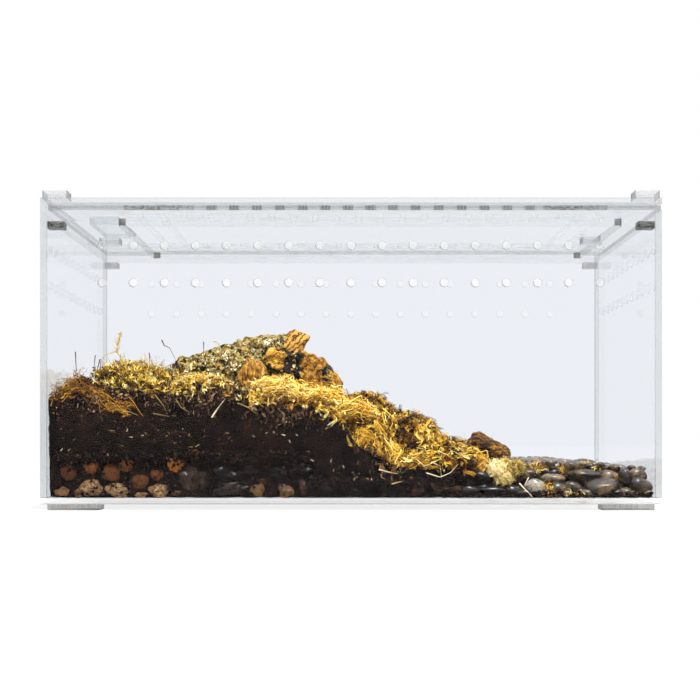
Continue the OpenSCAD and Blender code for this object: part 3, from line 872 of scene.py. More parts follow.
mat_look, here = finish("moss_mat")
mat_colour = mixed(noise_of(here, 3, 5, 0.7), (0.014, 0.008, 0.004), (0.20, 0.12, 0.02))
surface(here, {"Base Color": mat_colour, "Roughness": 0.9}, noise_of(here, 1.0, 6, 0.7), 1.5, 0.08)


def dip(co):
    """How deep the moss is pressed down in front of the log."""
    x, behind = co.x / MM, (co.y + wall_y) / MM
    along = min(1, max(0, (x + 104) / 14))
    return (5.5 * along * math.exp(-((behind - 58) / 34) ** 2) + 2.5) * MM


# The moss's upper outline as it looks from the front, measured at the front wall.
MOSS_LINE = [(-147, 62), (-125, 62), (-120.3, 70), (-114.3, 72.8), (-108.8, 69.8), (-102.2, 73.5),
             (-96, 72.2), (-90, 69.2), (-82.8, 67.4), (-75.5, 66.2), (-65.9, 63.7), (-58.6, 58.3),
             (-53.8, 56), (-48.9, 57.1), (-41.7, 64.9), (-34.4, 66.2), (-28.3, 64.3), (-22.3, 57.7),
             (-17.4, 52.8), (-10.2, 50.4), (-4.1, 52.8), (7.4, 55.9), (14.6, 55.3), (18.9, 50.4),
             (21.9, 46), (33.4, 45.5), (38.2, 42), (41, 36), (44, 33.6), (54, 33.6), (57, 29),
             (68, 28), (71, 24), (78, 17)]
moss_x, moss_z = zip(*MOSS_LINE)


def press(co):
    """Presses a point of the moss down under its outline. What lies further back looks lower."""
    far = 1 + (co.y + wall_y) / (CAMERA_DISTANCE - wall_y)
    rise = np.interp(co.x / MM / far, moss_x, moss_z) * MM - CAMERA_HEIGHT
    co.z = min(co.z, CAMERA_HEIGHT + rise * far + (1.6 * lump(co, 4) - 2.6) * MM)


def front_back(co, depth):
    """How far a point on the front wall is set back, to leave room for fibres."""
    return depth * MM if co.y < -wall_y + 0.6 * MM else 0


moss = body_of_node("moss_carpet")
refine(moss, 3.2 * MM)
for v in moss.verts:
    shift = Vector((0, front_back(v.co, 3.0), settle(v.co)))
    if v.normal.z > 0.2:
        shift += v.normal * (3.0 * lump(v.co, 11) + 2.4 * lump(v.co, 5)) * MM
        shift.z -= dip(v.co)
    v.co += shift
    press(v.co)
keep_inside(moss)
moss_base = piece("moss_mat", moss, mat_look, ["moss_carpet"])

frond_look = toned("moss_fronds", 0.7, (0, (0.014, 0.008, 0.003)), (0.28, (0.13, 0.066, 0.008)),
                   (0.5, (0.42, 0.25, 0.022)), (0.75, (0.80, 0.57, 0.10)), (1, (0.96, 0.84, 0.46)),
                   gloss=0.15)

rng = np.random.default_rng(7)
fronds = [frond(seed, 12) for seed in range(10)]


def front_first(place, normal):
    """Thickest near the front, and a little on the faces at the other walls."""
    near = 1 / (1 + np.maximum(0, (place[:, 1] + wall_y) / 0.07) ** 2)
    upper = (0.12 + near) * np.clip(normal[:, 2] + 0.55 * np.clip(-normal[:, 1], 0, 1), 0, 1)
    return upper + 0.3 * ((normal[:, 1] > 0.6) | (np.abs(normal[:, 0]) > 0.6))


def patches(places, size):
    """Smooth noise from -1 to 1 at each place."""
    return np.array([noise.noise(Vector(place) / (size * MM)) for place in places])


for batch, amount in (("moss_fronds_a", 3900), ("moss_fronds_b", 3900)):
    places, normals = sown(moss_base, amount, rng, front_first)
    spread = ways(amount, rng)
    ahead = 0.55 * normals + spread
    scales = rng.uniform(0.35, 0.95, amount)
    # Fronds to the right of x = -95 mm get a lighter mean tone.
    mean_tone = 0.66 + 0.16 * np.clip((places[:, 0] / MM + 95) / 20, 0, 1)
    tones = np.clip(mean_tone + 1.0 * patches(places, 3.6) + rng.normal(0, 0.24, amount), 0.03, 1)
    mesh = strewn(fronds, places, ahead, normals + spread[::-1], scales, tones, rng, 0.55)
    piece(batch, mesh, frond_look, ["moss_carpet"])

# A third of the fronds have dried to gold, and they lie in patches.
places, normals = sown(moss_base, 4300, rng, front_first)
keep = patches(places, 6) > -0.1
places, normals = places[keep], normals[keep]
amount = len(places)
spread = ways(amount, rng)
tones = np.clip(0.62 + 0.8 * patches(places, 4) + rng.normal(0, 0.22, amount), 0.05, 1)
golden_fronds = strewn(fronds, places, 0.5 * normals + spread, normals + spread[::-1],
                       rng.uniform(0.35, 0.95, amount), tones, rng, 0.5)

# ------------------------------------------------------------ golden moss
# Long-fibred dried moss, combed down the slope in locks, over a brown mat. It lies
# loose on the soil and hangs a little over it at the front wall.


def lock(seed, length=11.0, strands=5, steps=5):
    """A few wavy flat fibres that run side by side along X."""
    pick = random.Random(seed)
    wave, phase = pick.uniform(0.8, 2.2), pick.uniform(0, 6)
    shapes = []
    for _ in range(strands):
        aside, lift, own = pick.uniform(-1, 1), pick.uniform(0, 1), pick.uniform(-0.6, 0.6)
        path = []
        for i in range(steps + 1):
            t = i / steps
            path.append(Vector((length * t, aside + wave * math.sin(6 * t + phase + own),
                                lift + 1.5 * math.sin(3.1 * t) + own * math.sin(8 * t))) * MM)
        shapes.append(ribbon(path, pick.uniform(0.28, 0.6) * MM))
    return joined(shapes)


brown_look, here = finish("golden_mat")
brown = mixed(noise_of(here, 4, 5, 0.7), (0.02, 0.008, 0.003), (0.34, 0.14, 0.016))
surface(here, {"Base Color": brown, "Roughness": 0.9}, noise_of(here, 1.2, 6, 0.7), 1.8, 0.08)

# Middle and height of the tufts that stand up along the slope's crest.
CRESTS = [(9, 4.5, 9), (33, 4.0, 9), (-12, 2.0, 8)]


def crest(co):
    """How far the tufts on the crest rise over the slope."""
    x = co.x / MM
    return sum(height * math.exp(-((x - middle) / wide) ** 2) for middle, height, wide in CRESTS) * MM


bank = body_of_node("sphagnum_bank")
refine(bank, 3.0 * MM)
for v in bank.verts:
    shift = Vector((0, front_back(v.co, 4.5), settle(v.co)))
    if v.normal.z > 0.2:
        shift += v.normal * (3.8 * lump(v.co, 12) + 3.0 * lump(v.co, 5.5)) * MM
        shift.z += crest(v.co) - 2.5 * MM
    v.co += shift
    press(v.co)
keep_inside(bank)
bank_base = piece("golden_mat", bank, brown_look, ["sphagnum_bank"])

gold_look = toned("golden_fibres", 0.6, (0, (0.014, 0.005, 0.002)), (0.28, (0.15, 0.052, 0.005)),
                  (0.52, (0.54, 0.26, 0.014)), (0.78, (0.90, 0.58, 0.06)), (1, (0.98, 0.87, 0.38)),
                  gloss=0.2)
piece("moss_fronds_gold", golden_fronds, gold_look, ["moss_carpet"])
locks = [lock(seed) for seed in range(10)]
tufts = [frond(seed + 40, 12, 6.0) for seed in range(8)]


def shaded(places):
    """How much darker the moss is: on the right, and in two gaps between the locks."""
    x, z = places[:, 0] / MM, places[:, 2] / MM
    gaps = sum(np.exp(-((x - a) / 4.5) ** 2 - ((z - b) / 4) ** 2) for a, b in ((6, 42), (13, 35)))
    return 0.17 * np.clip((x + 6) / 12, 0, 1) + 0.5 * gaps


for batch, amount in (("golden_locks_a", 2600), ("golden_locks_b", 2600)):
    places, normals = sown(bank_base, amount, rng, front_first)
    spread = ways(amount, rng)
    front = np.clip(-normals[:, 1:2], 0, 1) > 0.5
    flow = np.where(front, (0.9, 0, 0.1), (0.8, -0.2, -0.4)) + 1.5 * spread
    flow -= normals * np.sum(flow * normals, axis=1, keepdims=True) * 0.7
    # The locks' mean tone, less the painted shade from shaded().
    mean_tone = 0.59 - shaded(places) + 1.2 * patches(places, 6)
    tones = np.clip(mean_tone + rng.normal(0, 0.2, amount), 0.02, 1)
    mesh = strewn(locks, places, flow, normals + 0.5 * spread,
                  rng.uniform(0.3, 0.85, amount), tones, rng, 0.25)
    piece(batch, mesh, gold_look, ["sphagnum_bank"])
for batch, amount in (("golden_tufts_a", 3900), ("golden_tufts_b", 3900)):
    places, normals = sown(bank_base, amount, rng, front_first)
    spread = ways(amount, rng)
    # The tufts' mean tone, less the painted shade from shaded().
    mean_tone = 0.57 - shaded(places) + 1.2 * patches(places, 5)
    tones = np.clip(mean_tone + rng.normal(0, 0.24, amount), 0.02, 1)
    mesh = strewn(tufts, places, 0.6 * normals + spread, normals + spread[::-1],
                  rng.uniform(0.35, 0.9, amount), tones, rng, 0.6)
    piece(batch, mesh, gold_look, ["sphagnum_bank"])

# Bands of combed fibres: path, how many, how wide, fibre width and tones.
BANDS = [
    ([(-6, -91, 48), (4, -91, 50.5), (12, -91.5, 44.5), (17, -92, 36), (20.5, -92.5, 27.5),
      (22, -93, 22)], 1000, 3.2, 0.55, (0.12, 0.95)),
    ([(-23, -88, 56), (-15, -89, 57.5), (-7, -90, 55), (0, -91, 49.5)], 420, 2.4, 0.55, (0.25, 1.0)),
    ([(-11, -81, 69), (-8, -81, 64), (-6, -82, 59), (-3, -83, 53.5)], 90, 1.3, 0.45, (0.05, 0.7)),
    ([(-50, -84, 53.5), (-44, -82, 57.5), (-35, -81, 59.5), (-29, -81, 58), (-23, -82, 53.5),
      (-18, -83, 49), (-11, -86, 46.5), (-4, -88, 47)], 3200, 3.8, 0.6, (0.3, 1.0)),
    ([(-88, -86, 57), (-80, -84, 61), (-70, -82, 61.5), (-62, -82, 58), (-55, -84, 54)],
     1000, 3.0, 0.55, (0.3, 1.0)),
    ([(22, -93, 23), (32, -92, 26), (44, -90, 28), (56, -88, 25), (66, -88, 21)],
     1200, 3.6, 0.55, (0.08, 0.9)),
    ([(2, -94, 31), (6, -94, 38), (11, -94, 35), (15, -94, 28)], 260, 2.2, 0.5, (0.2, 0.75)),
    ([(-143, -96, 54), (-137, -96, 59), (-132.5, -95.6, 61.3), (-127, -96, 58.5), (-121.6, -96, 53.4),
      (-108, -96, 48.8)], 420, 3.4, 0.42, (0.02, 0.6)),
    ([(-52, -93, 52), (-49, -93, 56), (-44, -93, 51)], 160, 2.4, 0.6, (0.2, 0.8))]
fibres, tones = [], []
for path, count, wide, thick, bright in BANDS:
    parts, shades = combed(path, count, wide, thick, bright)
    fibres += parts
    tones += shades
piece("combed_bands", gather(fibres, tones), gold_look, ["sphagnum_bank"])

# ------------------------------------------------------------- lichen log
# A cork oak branch, thick at its right end, under a crust of lichen. It lies on the
# moss, and its broken end shows rings, a hollow in painted shade and an orange core.

LOG_LEFT, LOG_RIGHT = -97 * MM, -31 * MM
LOG_Y = (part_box("cork_log")[0].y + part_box("cork_log")[1].y) / 2
bark_look, here = finish("lichen_bark")
cracks = noise_of(here, 4.5, 5, 0.65)
warm = ramp_of(cracks, (0.38, (0.015, 0.011, 0.008)), (0.52, (0.09, 0.055, 0.02)),
               (0.66, (0.40, 0.22, 0.045)))
crust = mask_of(noise_of(here, 2.2, 4, 0.6), 0.46, 0.56)
surface(here, {"Base Color": mixed(crust * 0.7, warm, (0.55, 0.43, 0.13)), "Roughness": 0.85},
        cracks + noise_of(here, 1.2, 5, 0.7) * 0.5, 2.0)

log = bmesh.new()
bmesh.ops.create_grid(log, x_segments=96, y_segments=100, size=1)
for v in log.verts:
    along, turn = (v.co.x + 1) / 2, math.pi * v.co.y
    radius = 7.0 + 8.0 * along ** 0.8
    radius *= math.sqrt(max(0.0, 1 - max(0.0, 1 - along / 0.08) ** 2))
    radius *= math.sqrt(max(0.0, 1 - max(0.0, 1 - (1 - along) / 0.05) ** 2))
    middle = 69.5 + 7.5 * along
    v.co = Vector((LOG_LEFT + (LOG_RIGHT - LOG_LEFT) * along,
                   LOG_Y + 1.15 * radius * MM * math.cos(turn),
                   (middle + radius * math.sin(turn)) * MM))
bmesh.ops.remove_doubles(log, verts=log.verts, dist=0.01 * MM)
log.normal_update()
for v in log.verts:
    push = 3.8 * lump(v.co, 10) + 3.0 * lump(v.co, 4.5) + 1.3 * lump(v.co, 1.9)
    v.co += v.normal * push * MM
log_base = piece("log", log, bark_look, ["cork_log"])

crust_look = toned("lichen", 0.8, (0, (0.007, 0.006, 0.005)), (0.34, (0.045, 0.028, 0.010)),
                   (0.46, (0.34, 0.19, 0.030)), (0.68, (0.74, 0.57, 0.18)), (1, (0.96, 0.88, 0.58)))


def flake(seed):
    """A small crumpled leaf of lichen with a raised edge, one millimetre across."""
    pick = random.Random(seed)
    rim = [Vector((math.cos(k * 0.9) * pick.uniform(0.35, 0.62),
                   math.sin(k * 0.9) * pick.uniform(0.35, 0.62),
                   pick.uniform(0.1, 0.5))) * MM for k in range(7)]
    verts = [Vector((0, 0, 0.05 * MM))] + rim
    faces = [(0, k + 1, (k + 1) % 7 + 1) for k in range(7)]
    return np.array(verts), np.array(faces)


flakes = [flake(seed) for seed in range(8)]
amount = 11000
places, normals = sown(log_base, amount, rng,
                       lambda place, normal: np.clip(normal[:, 2] + 0.6, 0.05, 1))
spread = ways(amount, rng)
tones = np.clip(0.58 + 1.5 * patches(places, 4.5) + rng.normal(0, 0.28, amount), 0, 1)
mesh = strewn(flakes, places, spread, normals + 0.8 * spread,
              rng.uniform(0.8, 2.9, amount), tones, rng)
piece("log_lichen", mesh, crust_look, ["cork_log"])


def rough_block(size, place, turn, seed, bumps=1.0, cell=1.6):
    """A block of bark with worn edges and a broken surface."""
    bm = bmesh.new()
    bmesh.ops.create_cube(bm, size=1)
    bmesh.ops.scale(bm, verts=bm.verts, vec=[side * MM for side in size])
    bmesh.ops.bevel(bm, geom=bm.edges, offset=0.16 * min(size) * MM, offset_type="OFFSET",
                    segments=2, profile=0.5, affect="EDGES", material=-1)
    bmesh.ops.triangulate(bm, faces=bm.faces)
    refine(bm, cell * MM)
    shift = Vector((seed * 0.031, seed * 0.017, seed * 0.011))
    for v in bm.verts:
        v.co += v.normal * bumps * (1.3 * lump(v.co + shift, 5) + 0.6 * lump(v.co + shift, 1.8)) * MM
    bmesh.ops.rotate(bm, verts=bm.verts, matrix=Euler(turn).to_matrix())
    bmesh.ops.translate(bm, verts=bm.verts, vec=[value * MM for value in place])
    return bm


# Rings: dark grooves about a millimetre and a half apart across orange cork.
ring_look, here = finish("ringed_cork")
across = here.node("ShaderNodeVectorMath", {"operation": "DOT_PRODUCT"},
                   {0: here, 1: (0.66, 0.1, -0.74)}, "Value")
bands = here.math("SINE", (across + noise_of(here, 4, 4, 0.6) * 8) * 2.4)
groove = mask_of(bands, 0.35, 0.9)
cork = mixed(noise_of(here, 2, 4), (0.36, 0.15, 0.02), (0.72, 0.40, 0.08))
surface(here, {"Base Color": mixed(groove * 0.85, cork, (0.02, 0.013, 0.008)), "Roughness": 0.8},
        1 - groove, 0.8)
stub = rough_block((10, 22, 19), (-31.6, LOG_Y / MM - 5, 83.2), (0, 0.5, 0.1), 3, 0.8)
piece("ringed_stub", stub, ring_look, ["bark_stub"])


def grained(name, size, rough, depth, *stops, **along):
    """Bark whose colour and relief follow one noise, stretched along its grain."""
    material, here = finish(name)
    grain = noise_of(mapped(here, **along), size, 5, 0.7)
    surface(here, {"Base Color": ramp_of(grain, *stops), "Roughness": rough}, grain, depth)
    return material


# The core and the hollow under it, broken open at the front of the thick end.
core_look = grained("cork_core", 1.2, 0.8, 1.2, (0.38, (0.07, 0.024, 0.004)),
                    (0.5, (0.58, 0.29, 0.03)), (0.66, (0.93, 0.62, 0.12)), Scale=(0.5, 1, 1.6))
core = rough_block((10, 6, 8), (-39.6, -25.5, 76.6), (0.25, 0.3, 0.3), 8, 1.8, 0.9)
piece("log_core", core, core_look, ["bark_stub"])
# The hollow is a lump painted near black: painted shade, where the hollow lies in shadow.
hollow_shade_look = grained("dark_hollow", 1.4, 0.6, 1.5, (0.55, (0.012, 0.009, 0.008)),
                    (0.72, (0.12, 0.10, 0.09)))
hollow = rough_block((20, 12, 15), (-37.4, -19.5, 74.6), (0.1, 0.2, 0.2), 5, 1.8)
hollow_base = piece("log_hollow", hollow, hollow_shade_look, ["cork_log"])
amount = 280
places, normals = sown(hollow_base, amount, rng,
                       lambda place, normal: np.clip(0.4 - normal[:, 1], 0.05, 1))
spread = ways(amount, rng)
# The lichen in the hollow is darker: painted shade.
tones = np.clip(rng.normal(0.30, 0.28, amount), 0, 1)
mesh = strewn(flakes, places, spread, normals + 0.8 * spread,
              rng.uniform(0.7, 2.2, amount), tones, rng)
piece("hollow_lichen", mesh, crust_look, ["cork_log"])

# A fibrous chunk of inner bark that leans against the log.
streak_look = grained("fibrous_bark", 1.4, 0.75, 1.2, (0.36, (0.035, 0.013, 0.004)),
                      (0.5, (0.34, 0.15, 0.018)), (0.66, (0.80, 0.46, 0.07)),
                      Rotation=(0, 0.55, 0), Scale=(1.5, 1, 0.22))
chunk = rough_block((11.5, 12, 14.5), (-51.3, -45, 67.6), (0.1, 0.5, 0.1), 11, 1.0, 1.3)
piece("fibrous_chunk", chunk, streak_look, ["bark_slab"])

# ------------------------------------------------- leaning slab and nub
# Two more pieces of cork bark: a pitted orange slab that leans at the log's end,
# charred on its right side, and a rounded nub that lies on the pebbles.

slab_look, here = finish("orange_cork")
pit = noise_of(here, 2.4, 6, 0.8)
pits = ramp_of(pit, (0.42, (0.03, 0.011, 0.003)), (0.50, (0.36, 0.15, 0.020)),
               (0.62, (0.72, 0.42, 0.08)))
# The charred patch is an oval about 10 by 13 mm, high on the slab's right side.
oval = mapped(here, Location=(2.4, 0, -9.75), Scale=(0.2, 0, 0.142))
far = here.node("ShaderNodeVectorMath", {"operation": "LENGTH"}, {0: oval}, "Value")
charred = far + noise_of(here, 3, 4) * 1.4 < 1.42
specks = ramp_of(noise_of(here, 1.2, 2), (0.60, (0.012, 0.01, 0.009)), (0.68, (0.6, 0.55, 0.4)))
surface(here, {"Base Color": mixed(charred, pits, specks), "Roughness": 0.8}, pit, 1.6, 0.15)


def even_out(bm):
    """Moves every vertex half way to the middle of its neighbours."""
    bmesh.ops.smooth_vert(bm, verts=bm.verts, factor=0.5,
                          use_axis_x=True, use_axis_y=True, use_axis_z=True)


slab = body_of_node("bark_slab")
refine(slab, 2.0 * MM)
for _ in range(8):
    even_out(slab)
slab.normal_update()
for v in slab.verts:
    v.co += v.normal * (2.2 * lump(v.co, 8) + 1.5 * lump(v.co, 3)) * MM
piece("slab", slab, slab_look, ["bark_slab"])

nub_look = grained("brown_cork", 1.6, 0.75, 2.2, (0.42, (0.010, 0.005, 0.003)),
                   (0.52, (0.13, 0.050, 0.008)), (0.66, (0.62, 0.30, 0.03)),
                   Rotation=(0, -0.42, 0), Scale=(0.35, 0.6, 1.3))
nub_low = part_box("bark_nub")[0]
nub = rough_block((22, 20, 12), (72.2, nub_low.y / MM + 7, 27.7), (0.2, 0.5, 0), 9, 1.5, 1.0)
even_out(nub)
piece("nub", nub, nub_look, ["bark_nub"])

# ---------------------------------------------------------- river pebbles
# Rounded dark river pebbles, dropped over the right-hand floor, each resting on the
# floor or on the ones below it.

pebble_look, here = finish("river_pebble")
tone = tone_of(here)
vein = noise_of(here, 5, 4, 0.6)
stone = ramp_of(tone, (0, (0.006, 0.005, 0.0045)), (0.5, (0.050, 0.035, 0.023)),
                (0.8, (0.17, 0.13, 0.088)), (1, (0.32, 0.30, 0.27)))
stone = mixed(mask_of(noise_of(here, 1.3, 5, 0.7), 0.48, 0.58) * 0.75, stone,
              (0.007, 0.0055, 0.005))
tan = mask_of(vein, 0.50, 0.60)
surface(here, {"Base Color": mixed(tan * tone * 0.7, stone, (0.36, 0.23, 0.10)), "Roughness": 0.45,
               "Coat Weight": wet(here, 1.0), "Coat Roughness": 0.2, "Coat IOR": 1.85},
        noise_of(here, 1.2, 5, 0.65), 0.8, 0.05)

# Place, length, thickness, how pale and lean of each pebble in the front row.
FRONT_PEBBLES = [
    (90.0, -90.5, 11.2, 10.6, 8.2, 0.97, 0.1), (98.8, -86, 15.4, 11.8, 4.8, 0.75, 0.0),
    (122.1, -90.4, 11.0, 17.2, 9.4, 0.3, -0.08), (108.4, -90, 11.3, 9.2, 6.0, 0.3, 0.3),
    (86.5, -84, 17.4, 11.8, 6.4, 0.35, -0.1), (114.3, -84, 17.4, 17, 5.4, 0.3, 0.05),
    (134.2, -88, 15.2, 9.8, 6.6, 0.1, 1.35), (140.9, -86, 16.8, 9.6, 7.0, 0.4, 0.2),
    (141.4, -90.5, 11.2, 11.2, 10.0, 0.15, 0.3), (133.3, -92.4, 8.8, 6.6, 4.8, 0.7, 0.0),
    (127.2, -82, 16.4, 10.4, 5.6, 0.7, 0.15), (101.5, -91, 10.4, 9, 6.2, 0.3, 0.1),
    (79, -91, 9.4, 9.5, 6.0, 0.05, 0.2), (68.4, -91, 9.9, 14, 5.2, 0.0, 0.0),
    (63.2, -89, 15.7, 13, 8.0, 0.0, 0.2), (75, -88, 12.5, 8, 5.5, 0.1, -0.3),
    (58, -91.5, 9.6, 12, 6.4, 0.0, 0.1), (64, -90, 9.5, 10, 6.6, 0.0, -0.2),
    (84, -92, 8.4, 8, 4.6, 0.2, 0.0), (95.6, -91, 8.8, 8, 5.4, 0.1, 0.2),
    (104.4, -60, 20.6, 13, 7.0, 0.6, 0.0), (95, -52, 22.0, 14, 7.4, 0.8, 0.1),
    (118.5, -58, 21.4, 12, 6.4, 0.5, 0.05), (127.8, -60, 19.4, 10, 6, 0.7, 0.2),
    (111, -90, 8.6, 9, 5, 0.2, 0.0), (115.4, -92, 8.2, 8, 4.6, 0.5, 0.1),
    (129, -92, 8.2, 8, 4.4, 0.1, 0.0), (137, -92, 8.0, 6, 4, 0.4, 0.0),
    (144.4, -93, 8.0, 5, 4, 0.3, 0.0), (105, -93, 7.8, 6, 3.6, 0.6, 0.0)]
settled = [(x, y, z, length / 2, thick / 2) for x, y, z, length, thick, _, _ in FRONT_PEBBLES]
front, tones = [], []
for i, (x, y, z, length, thick, bright, lean) in enumerate(FRONT_PEBBLES):
    shape = arrays(rough_stone((length * MM, 0.75 * length * MM, thick * MM), i + 90, 1.6, 0.22, 4))
    verts, faces = placed(shape, (x * MM, y * MM, z * MM), (0, lean, 0))
    np.clip(verts[:, 1], -wall_y + 0.3 * MM, None, out=verts[:, 1])
    front.append((verts, faces))
    tones.append(bright)
piece("front_pebbles", gather(front, tones), pebble_look, ["river_pebbles"])

kinds = [arrays(rough_stone((1, 0.76, 0.5), seed, 1.1, 0.16, 2)) for seed in range(12)]
pile, tones = [], []
for i in range(1500):
    wide = chance.uniform(9, 15) if i < 700 else chance.uniform(4.5, 8)
    x = chance.uniform(64, 146.2 - wide / 2)
    y = chance.uniform(-84, 96.2 - wide / 2)
    flat = wide * chance.uniform(0.40, 0.52)
    z = 6 + flat / 2
    for other in settled:
        reach = 0.82 * (wide / 2 + other[3])
        gap = math.hypot(x - other[0], y - other[1])
        if gap < reach:
            z = max(z, other[2] + 0.92 * (flat / 2 + other[4]) * math.sqrt(1 - (gap / reach) ** 2))
    if z + flat / 2 > 24.5 - 0.10 * max(0, x - 110):
        continue
    settled.append((x, y, z, wide / 2, flat / 2))
    turn = (chance.uniform(-0.15, 0.15), chance.uniform(-0.15, 0.15), chance.uniform(0, 6.28))
    pile.append(placed(chance.choice(kinds), (x * MM, y * MM, z * MM), turn, wide * MM))
    tones.append(chance.random())
piece("pebbles", gather(pile, tones), pebble_look, ["river_pebbles"])

# ------------------------------------------------- pale tuft and scraps
# A pale clump of combed moss at the foot of the bank, and scraps of golden moss
# between the pebbles.

cream_look = toned("cream_fibres", 0.6, (0, (0.14, 0.08, 0.012)), (0.35, (0.56, 0.38, 0.07)),
                   (0.65, (0.80, 0.62, 0.24)), (1, (0.93, 0.83, 0.52)))
mound = bmesh.new()
# Place, half width and half height of each ball of moss that the clump is pressed from.
CLUMPS = [(70.4, 20.3, 3.4, 3.2), (74.6, 19.6, 4.6, 4.4), (79.4, 20.4, 3.6, 3.0), (74, 16, 3, 2.4)]
for x, z, wide, tall in CLUMPS:
    for v in bmesh.ops.create_icosphere(mound, subdivisions=3, radius=1)["verts"]:
        v.co = Vector((x + wide * v.co.x, -89.6 + 5.6 * v.co.y, z + tall * v.co.z)) * MM
mound.normal_update()
for v in mound.verts:
    v.co += v.normal * 1.6 * lump(v.co, 3.5) * MM
keep_inside(mound, 0.4 * MM)
pale_look, here = finish("cream_mat")
pale = mixed(noise_of(here, 2, 5, 0.7), (0.16, 0.09, 0.015), (0.72, 0.55, 0.18))
surface(here, {"Base Color": pale, "Roughness": 0.9}, noise_of(here, 1, 5, 0.7), 1.0, 0.1)
tuft_base = piece("tuft_mat", mound, pale_look, ["cream_tuft"])
amount = 2600
places, normals = sown(tuft_base, amount, rng,
                       lambda place, normal: np.clip(0.9 - normal[:, 1], 0, 2))
spread = ways(amount, rng)
flow = np.array((0.6, 0, -0.3)) + 1.1 * spread
flow -= normals * np.sum(flow * normals, axis=1, keepdims=True) * 0.8
tones = 0.80 - (places[:, 0] / MM - 68) / 26 + 0.7 * patches(places, 3)
tones = np.clip(tones + rng.normal(0, 0.2, amount), 0, 1)
piece("tuft_fibres", strewn(locks + tufts, places, flow, normals + 0.5 * spread,
                            rng.uniform(0.14, 0.42, amount), tones, rng, 0.3),
      cream_look, ["cream_tuft"])

# Middle, size and number of fibres of each scrap.
SCRAPS = [((88.5, -84, 20.5), (6, 4, 3), 260), ((97, -92, 9.5), (6, 3, 3.4), 300),
          ((107, -92.5, 7.6), (7, 3, 1.6), 160), ((70, -88, 20), (8, 5, 2.6), 300),
          ((106, -78, 19.5), (5, 4, 2.4), 200), ((118, -78, 20.0), (6, 5, 2.6), 230),
          ((131, -84, 14.5), (4, 3, 3), 120), ((60, -86, 20.5), (8, 6, 3), 260)]
middles = []
for middle, size, count in SCRAPS:
    middles.append(np.array(middle) + rng.normal(size=(count, 3)) * np.array(size) * 0.45)
places = np.concatenate(middles) * MM
amount = len(places)
spread = ways(amount, rng)
mesh = strewn(locks, places, spread + (0.4, 0, -0.2), spread[::-1] + (0, 0, 1),
              rng.uniform(0.08, 0.3, amount), np.clip(rng.normal(0.6, 0.28, amount), 0, 1), rng)
piece("moss_scraps", mesh, gold_look, ["sphagnum_bank"])

# ---------------------------------------------------- crumbs at the glass
# Peat crumbs, dead fibres and broken straws, pressed against the glass in front of
# the soil and frayed out along its top line.

bits_look = toned("peat_bits", 0.8, (0, (0.0025, 0.002, 0.002)), (0.42, (0.020, 0.011, 0.008)),
                  (0.7, (0.095, 0.048, 0.026)), (1, (0.42, 0.28, 0.16)), gloss=0.05)


def front_face(place, normal):
    """Mostly the soil's front, and a little of its other upright sides and top."""
    return np.where(normal[:, 1] < -0.5, 1.0, 0.22)


def other_faces(place, normal):
    """The upright sides at the other three walls."""
    return 1.0 * (normal[:, 1] > -0.5) * (np.abs(normal[:, 2]) < 0.5)


crumbs = [arrays(rough_stone((1 * MM, 0.7 * MM, 0.8 * MM), seed + 30, 2.0, 0.5, 1))
          for seed in range(6)]
for batch, amount, favour in (("peat_crumbs", 8600, front_face),
                              ("peat_crumbs_behind", 4800, other_faces)):
    places, normals = sown(soil_piece, amount, rng, favour)
    spread = ways(amount, rng)
    rise = (places[:, 2] / MM - 42) / 60
    tones = np.clip(0.21 + rise + 0.45 * patches(places, 14) + rng.normal(0, 0.22, amount), 0, 0.85)
    mesh = strewn(crumbs, places, spread, spread[::-1], rng.uniform(0.4, 1.6, amount), tones, rng)
    piece(batch, mesh, bits_look, ["soil_bed"])

# Larger dark clods lie between the clay balls and the stones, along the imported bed's
# top, and on the floor in front of the pebbles.


def seam(low, high, count, front, back, heights):
    """Places in millimetres along the front wall, at those heights."""
    return np.stack([rng.uniform(low, high, count), rng.uniform(front, back, count),
                     heights(count)], axis=1)


spots = [seam(-146, 60, 900, -95.8, -92.2, lambda count: 6.5 + 24 * rng.random(count) ** 0.8),
         seam(-146, -20, 1500, -95.8, -93.5, lambda count: rng.normal(26, 1.8, count)),
         seam(-22, 50, 700, -95.8, -93.5, lambda count: rng.normal(14, 1.5, count)),
         seam(50, 146, 900, -96, -91, lambda count: 6.4 + rng.exponential(0.7, count))]
spots[0][:, 2] *= np.where(spots[0][:, 0] > BED_STEP, 0.62, 1)
places = np.concatenate(spots) * MM
amount = len(places)
spread = ways(amount, rng)
tones = np.clip(rng.normal(0.15, 0.18, amount), 0, 1)
mesh = strewn(crumbs, places, spread, spread[::-1], rng.uniform(0.7, 2.3, amount), tones, rng)
piece("dark_clods", mesh, bits_look, ["soil_bed"])

# Fine dark grit fills the gaps between the pebbles, down to the base plate.
grit_rng = np.random.default_rng(8)
amount = 3600
places = np.stack([grit_rng.uniform(60, 146, amount), grit_rng.uniform(-90, 96, amount),
                   6.6 + grit_rng.exponential(1.2, amount)], axis=1) * MM
spread = ways(amount, grit_rng)
tones = np.clip(grit_rng.normal(0.32, 0.22, amount), 0, 1)
mesh = strewn(crumbs, places, spread, spread[::-1], grit_rng.uniform(1.4, 3.4, amount), tones, grit_rng)
piece("pebble_grit", mesh, bits_look, ["soil_bed"])

hairs = [lock(seed + 70, 9.0, 2, 5) for seed in range(8)]
amount = 3000
places, normals = sown(soil_piece, amount, rng, front_face)
spread = ways(amount, rng)
flow = spread - normals * np.sum(spread * normals, axis=1, keepdims=True)
rise = (places[:, 2] / MM - 42) / 45
tones = np.clip(0.27 + rise + 0.35 * patches(places, 14) + rng.normal(0, 0.2, amount), 0, 0.9)
mesh = strewn(hairs, places + normals * 0.4 * MM, flow, normals,
              rng.uniform(0.15, 0.45, amount), tones, rng)
piece("soil_hairs", mesh, bits_look, ["soil_bed"])

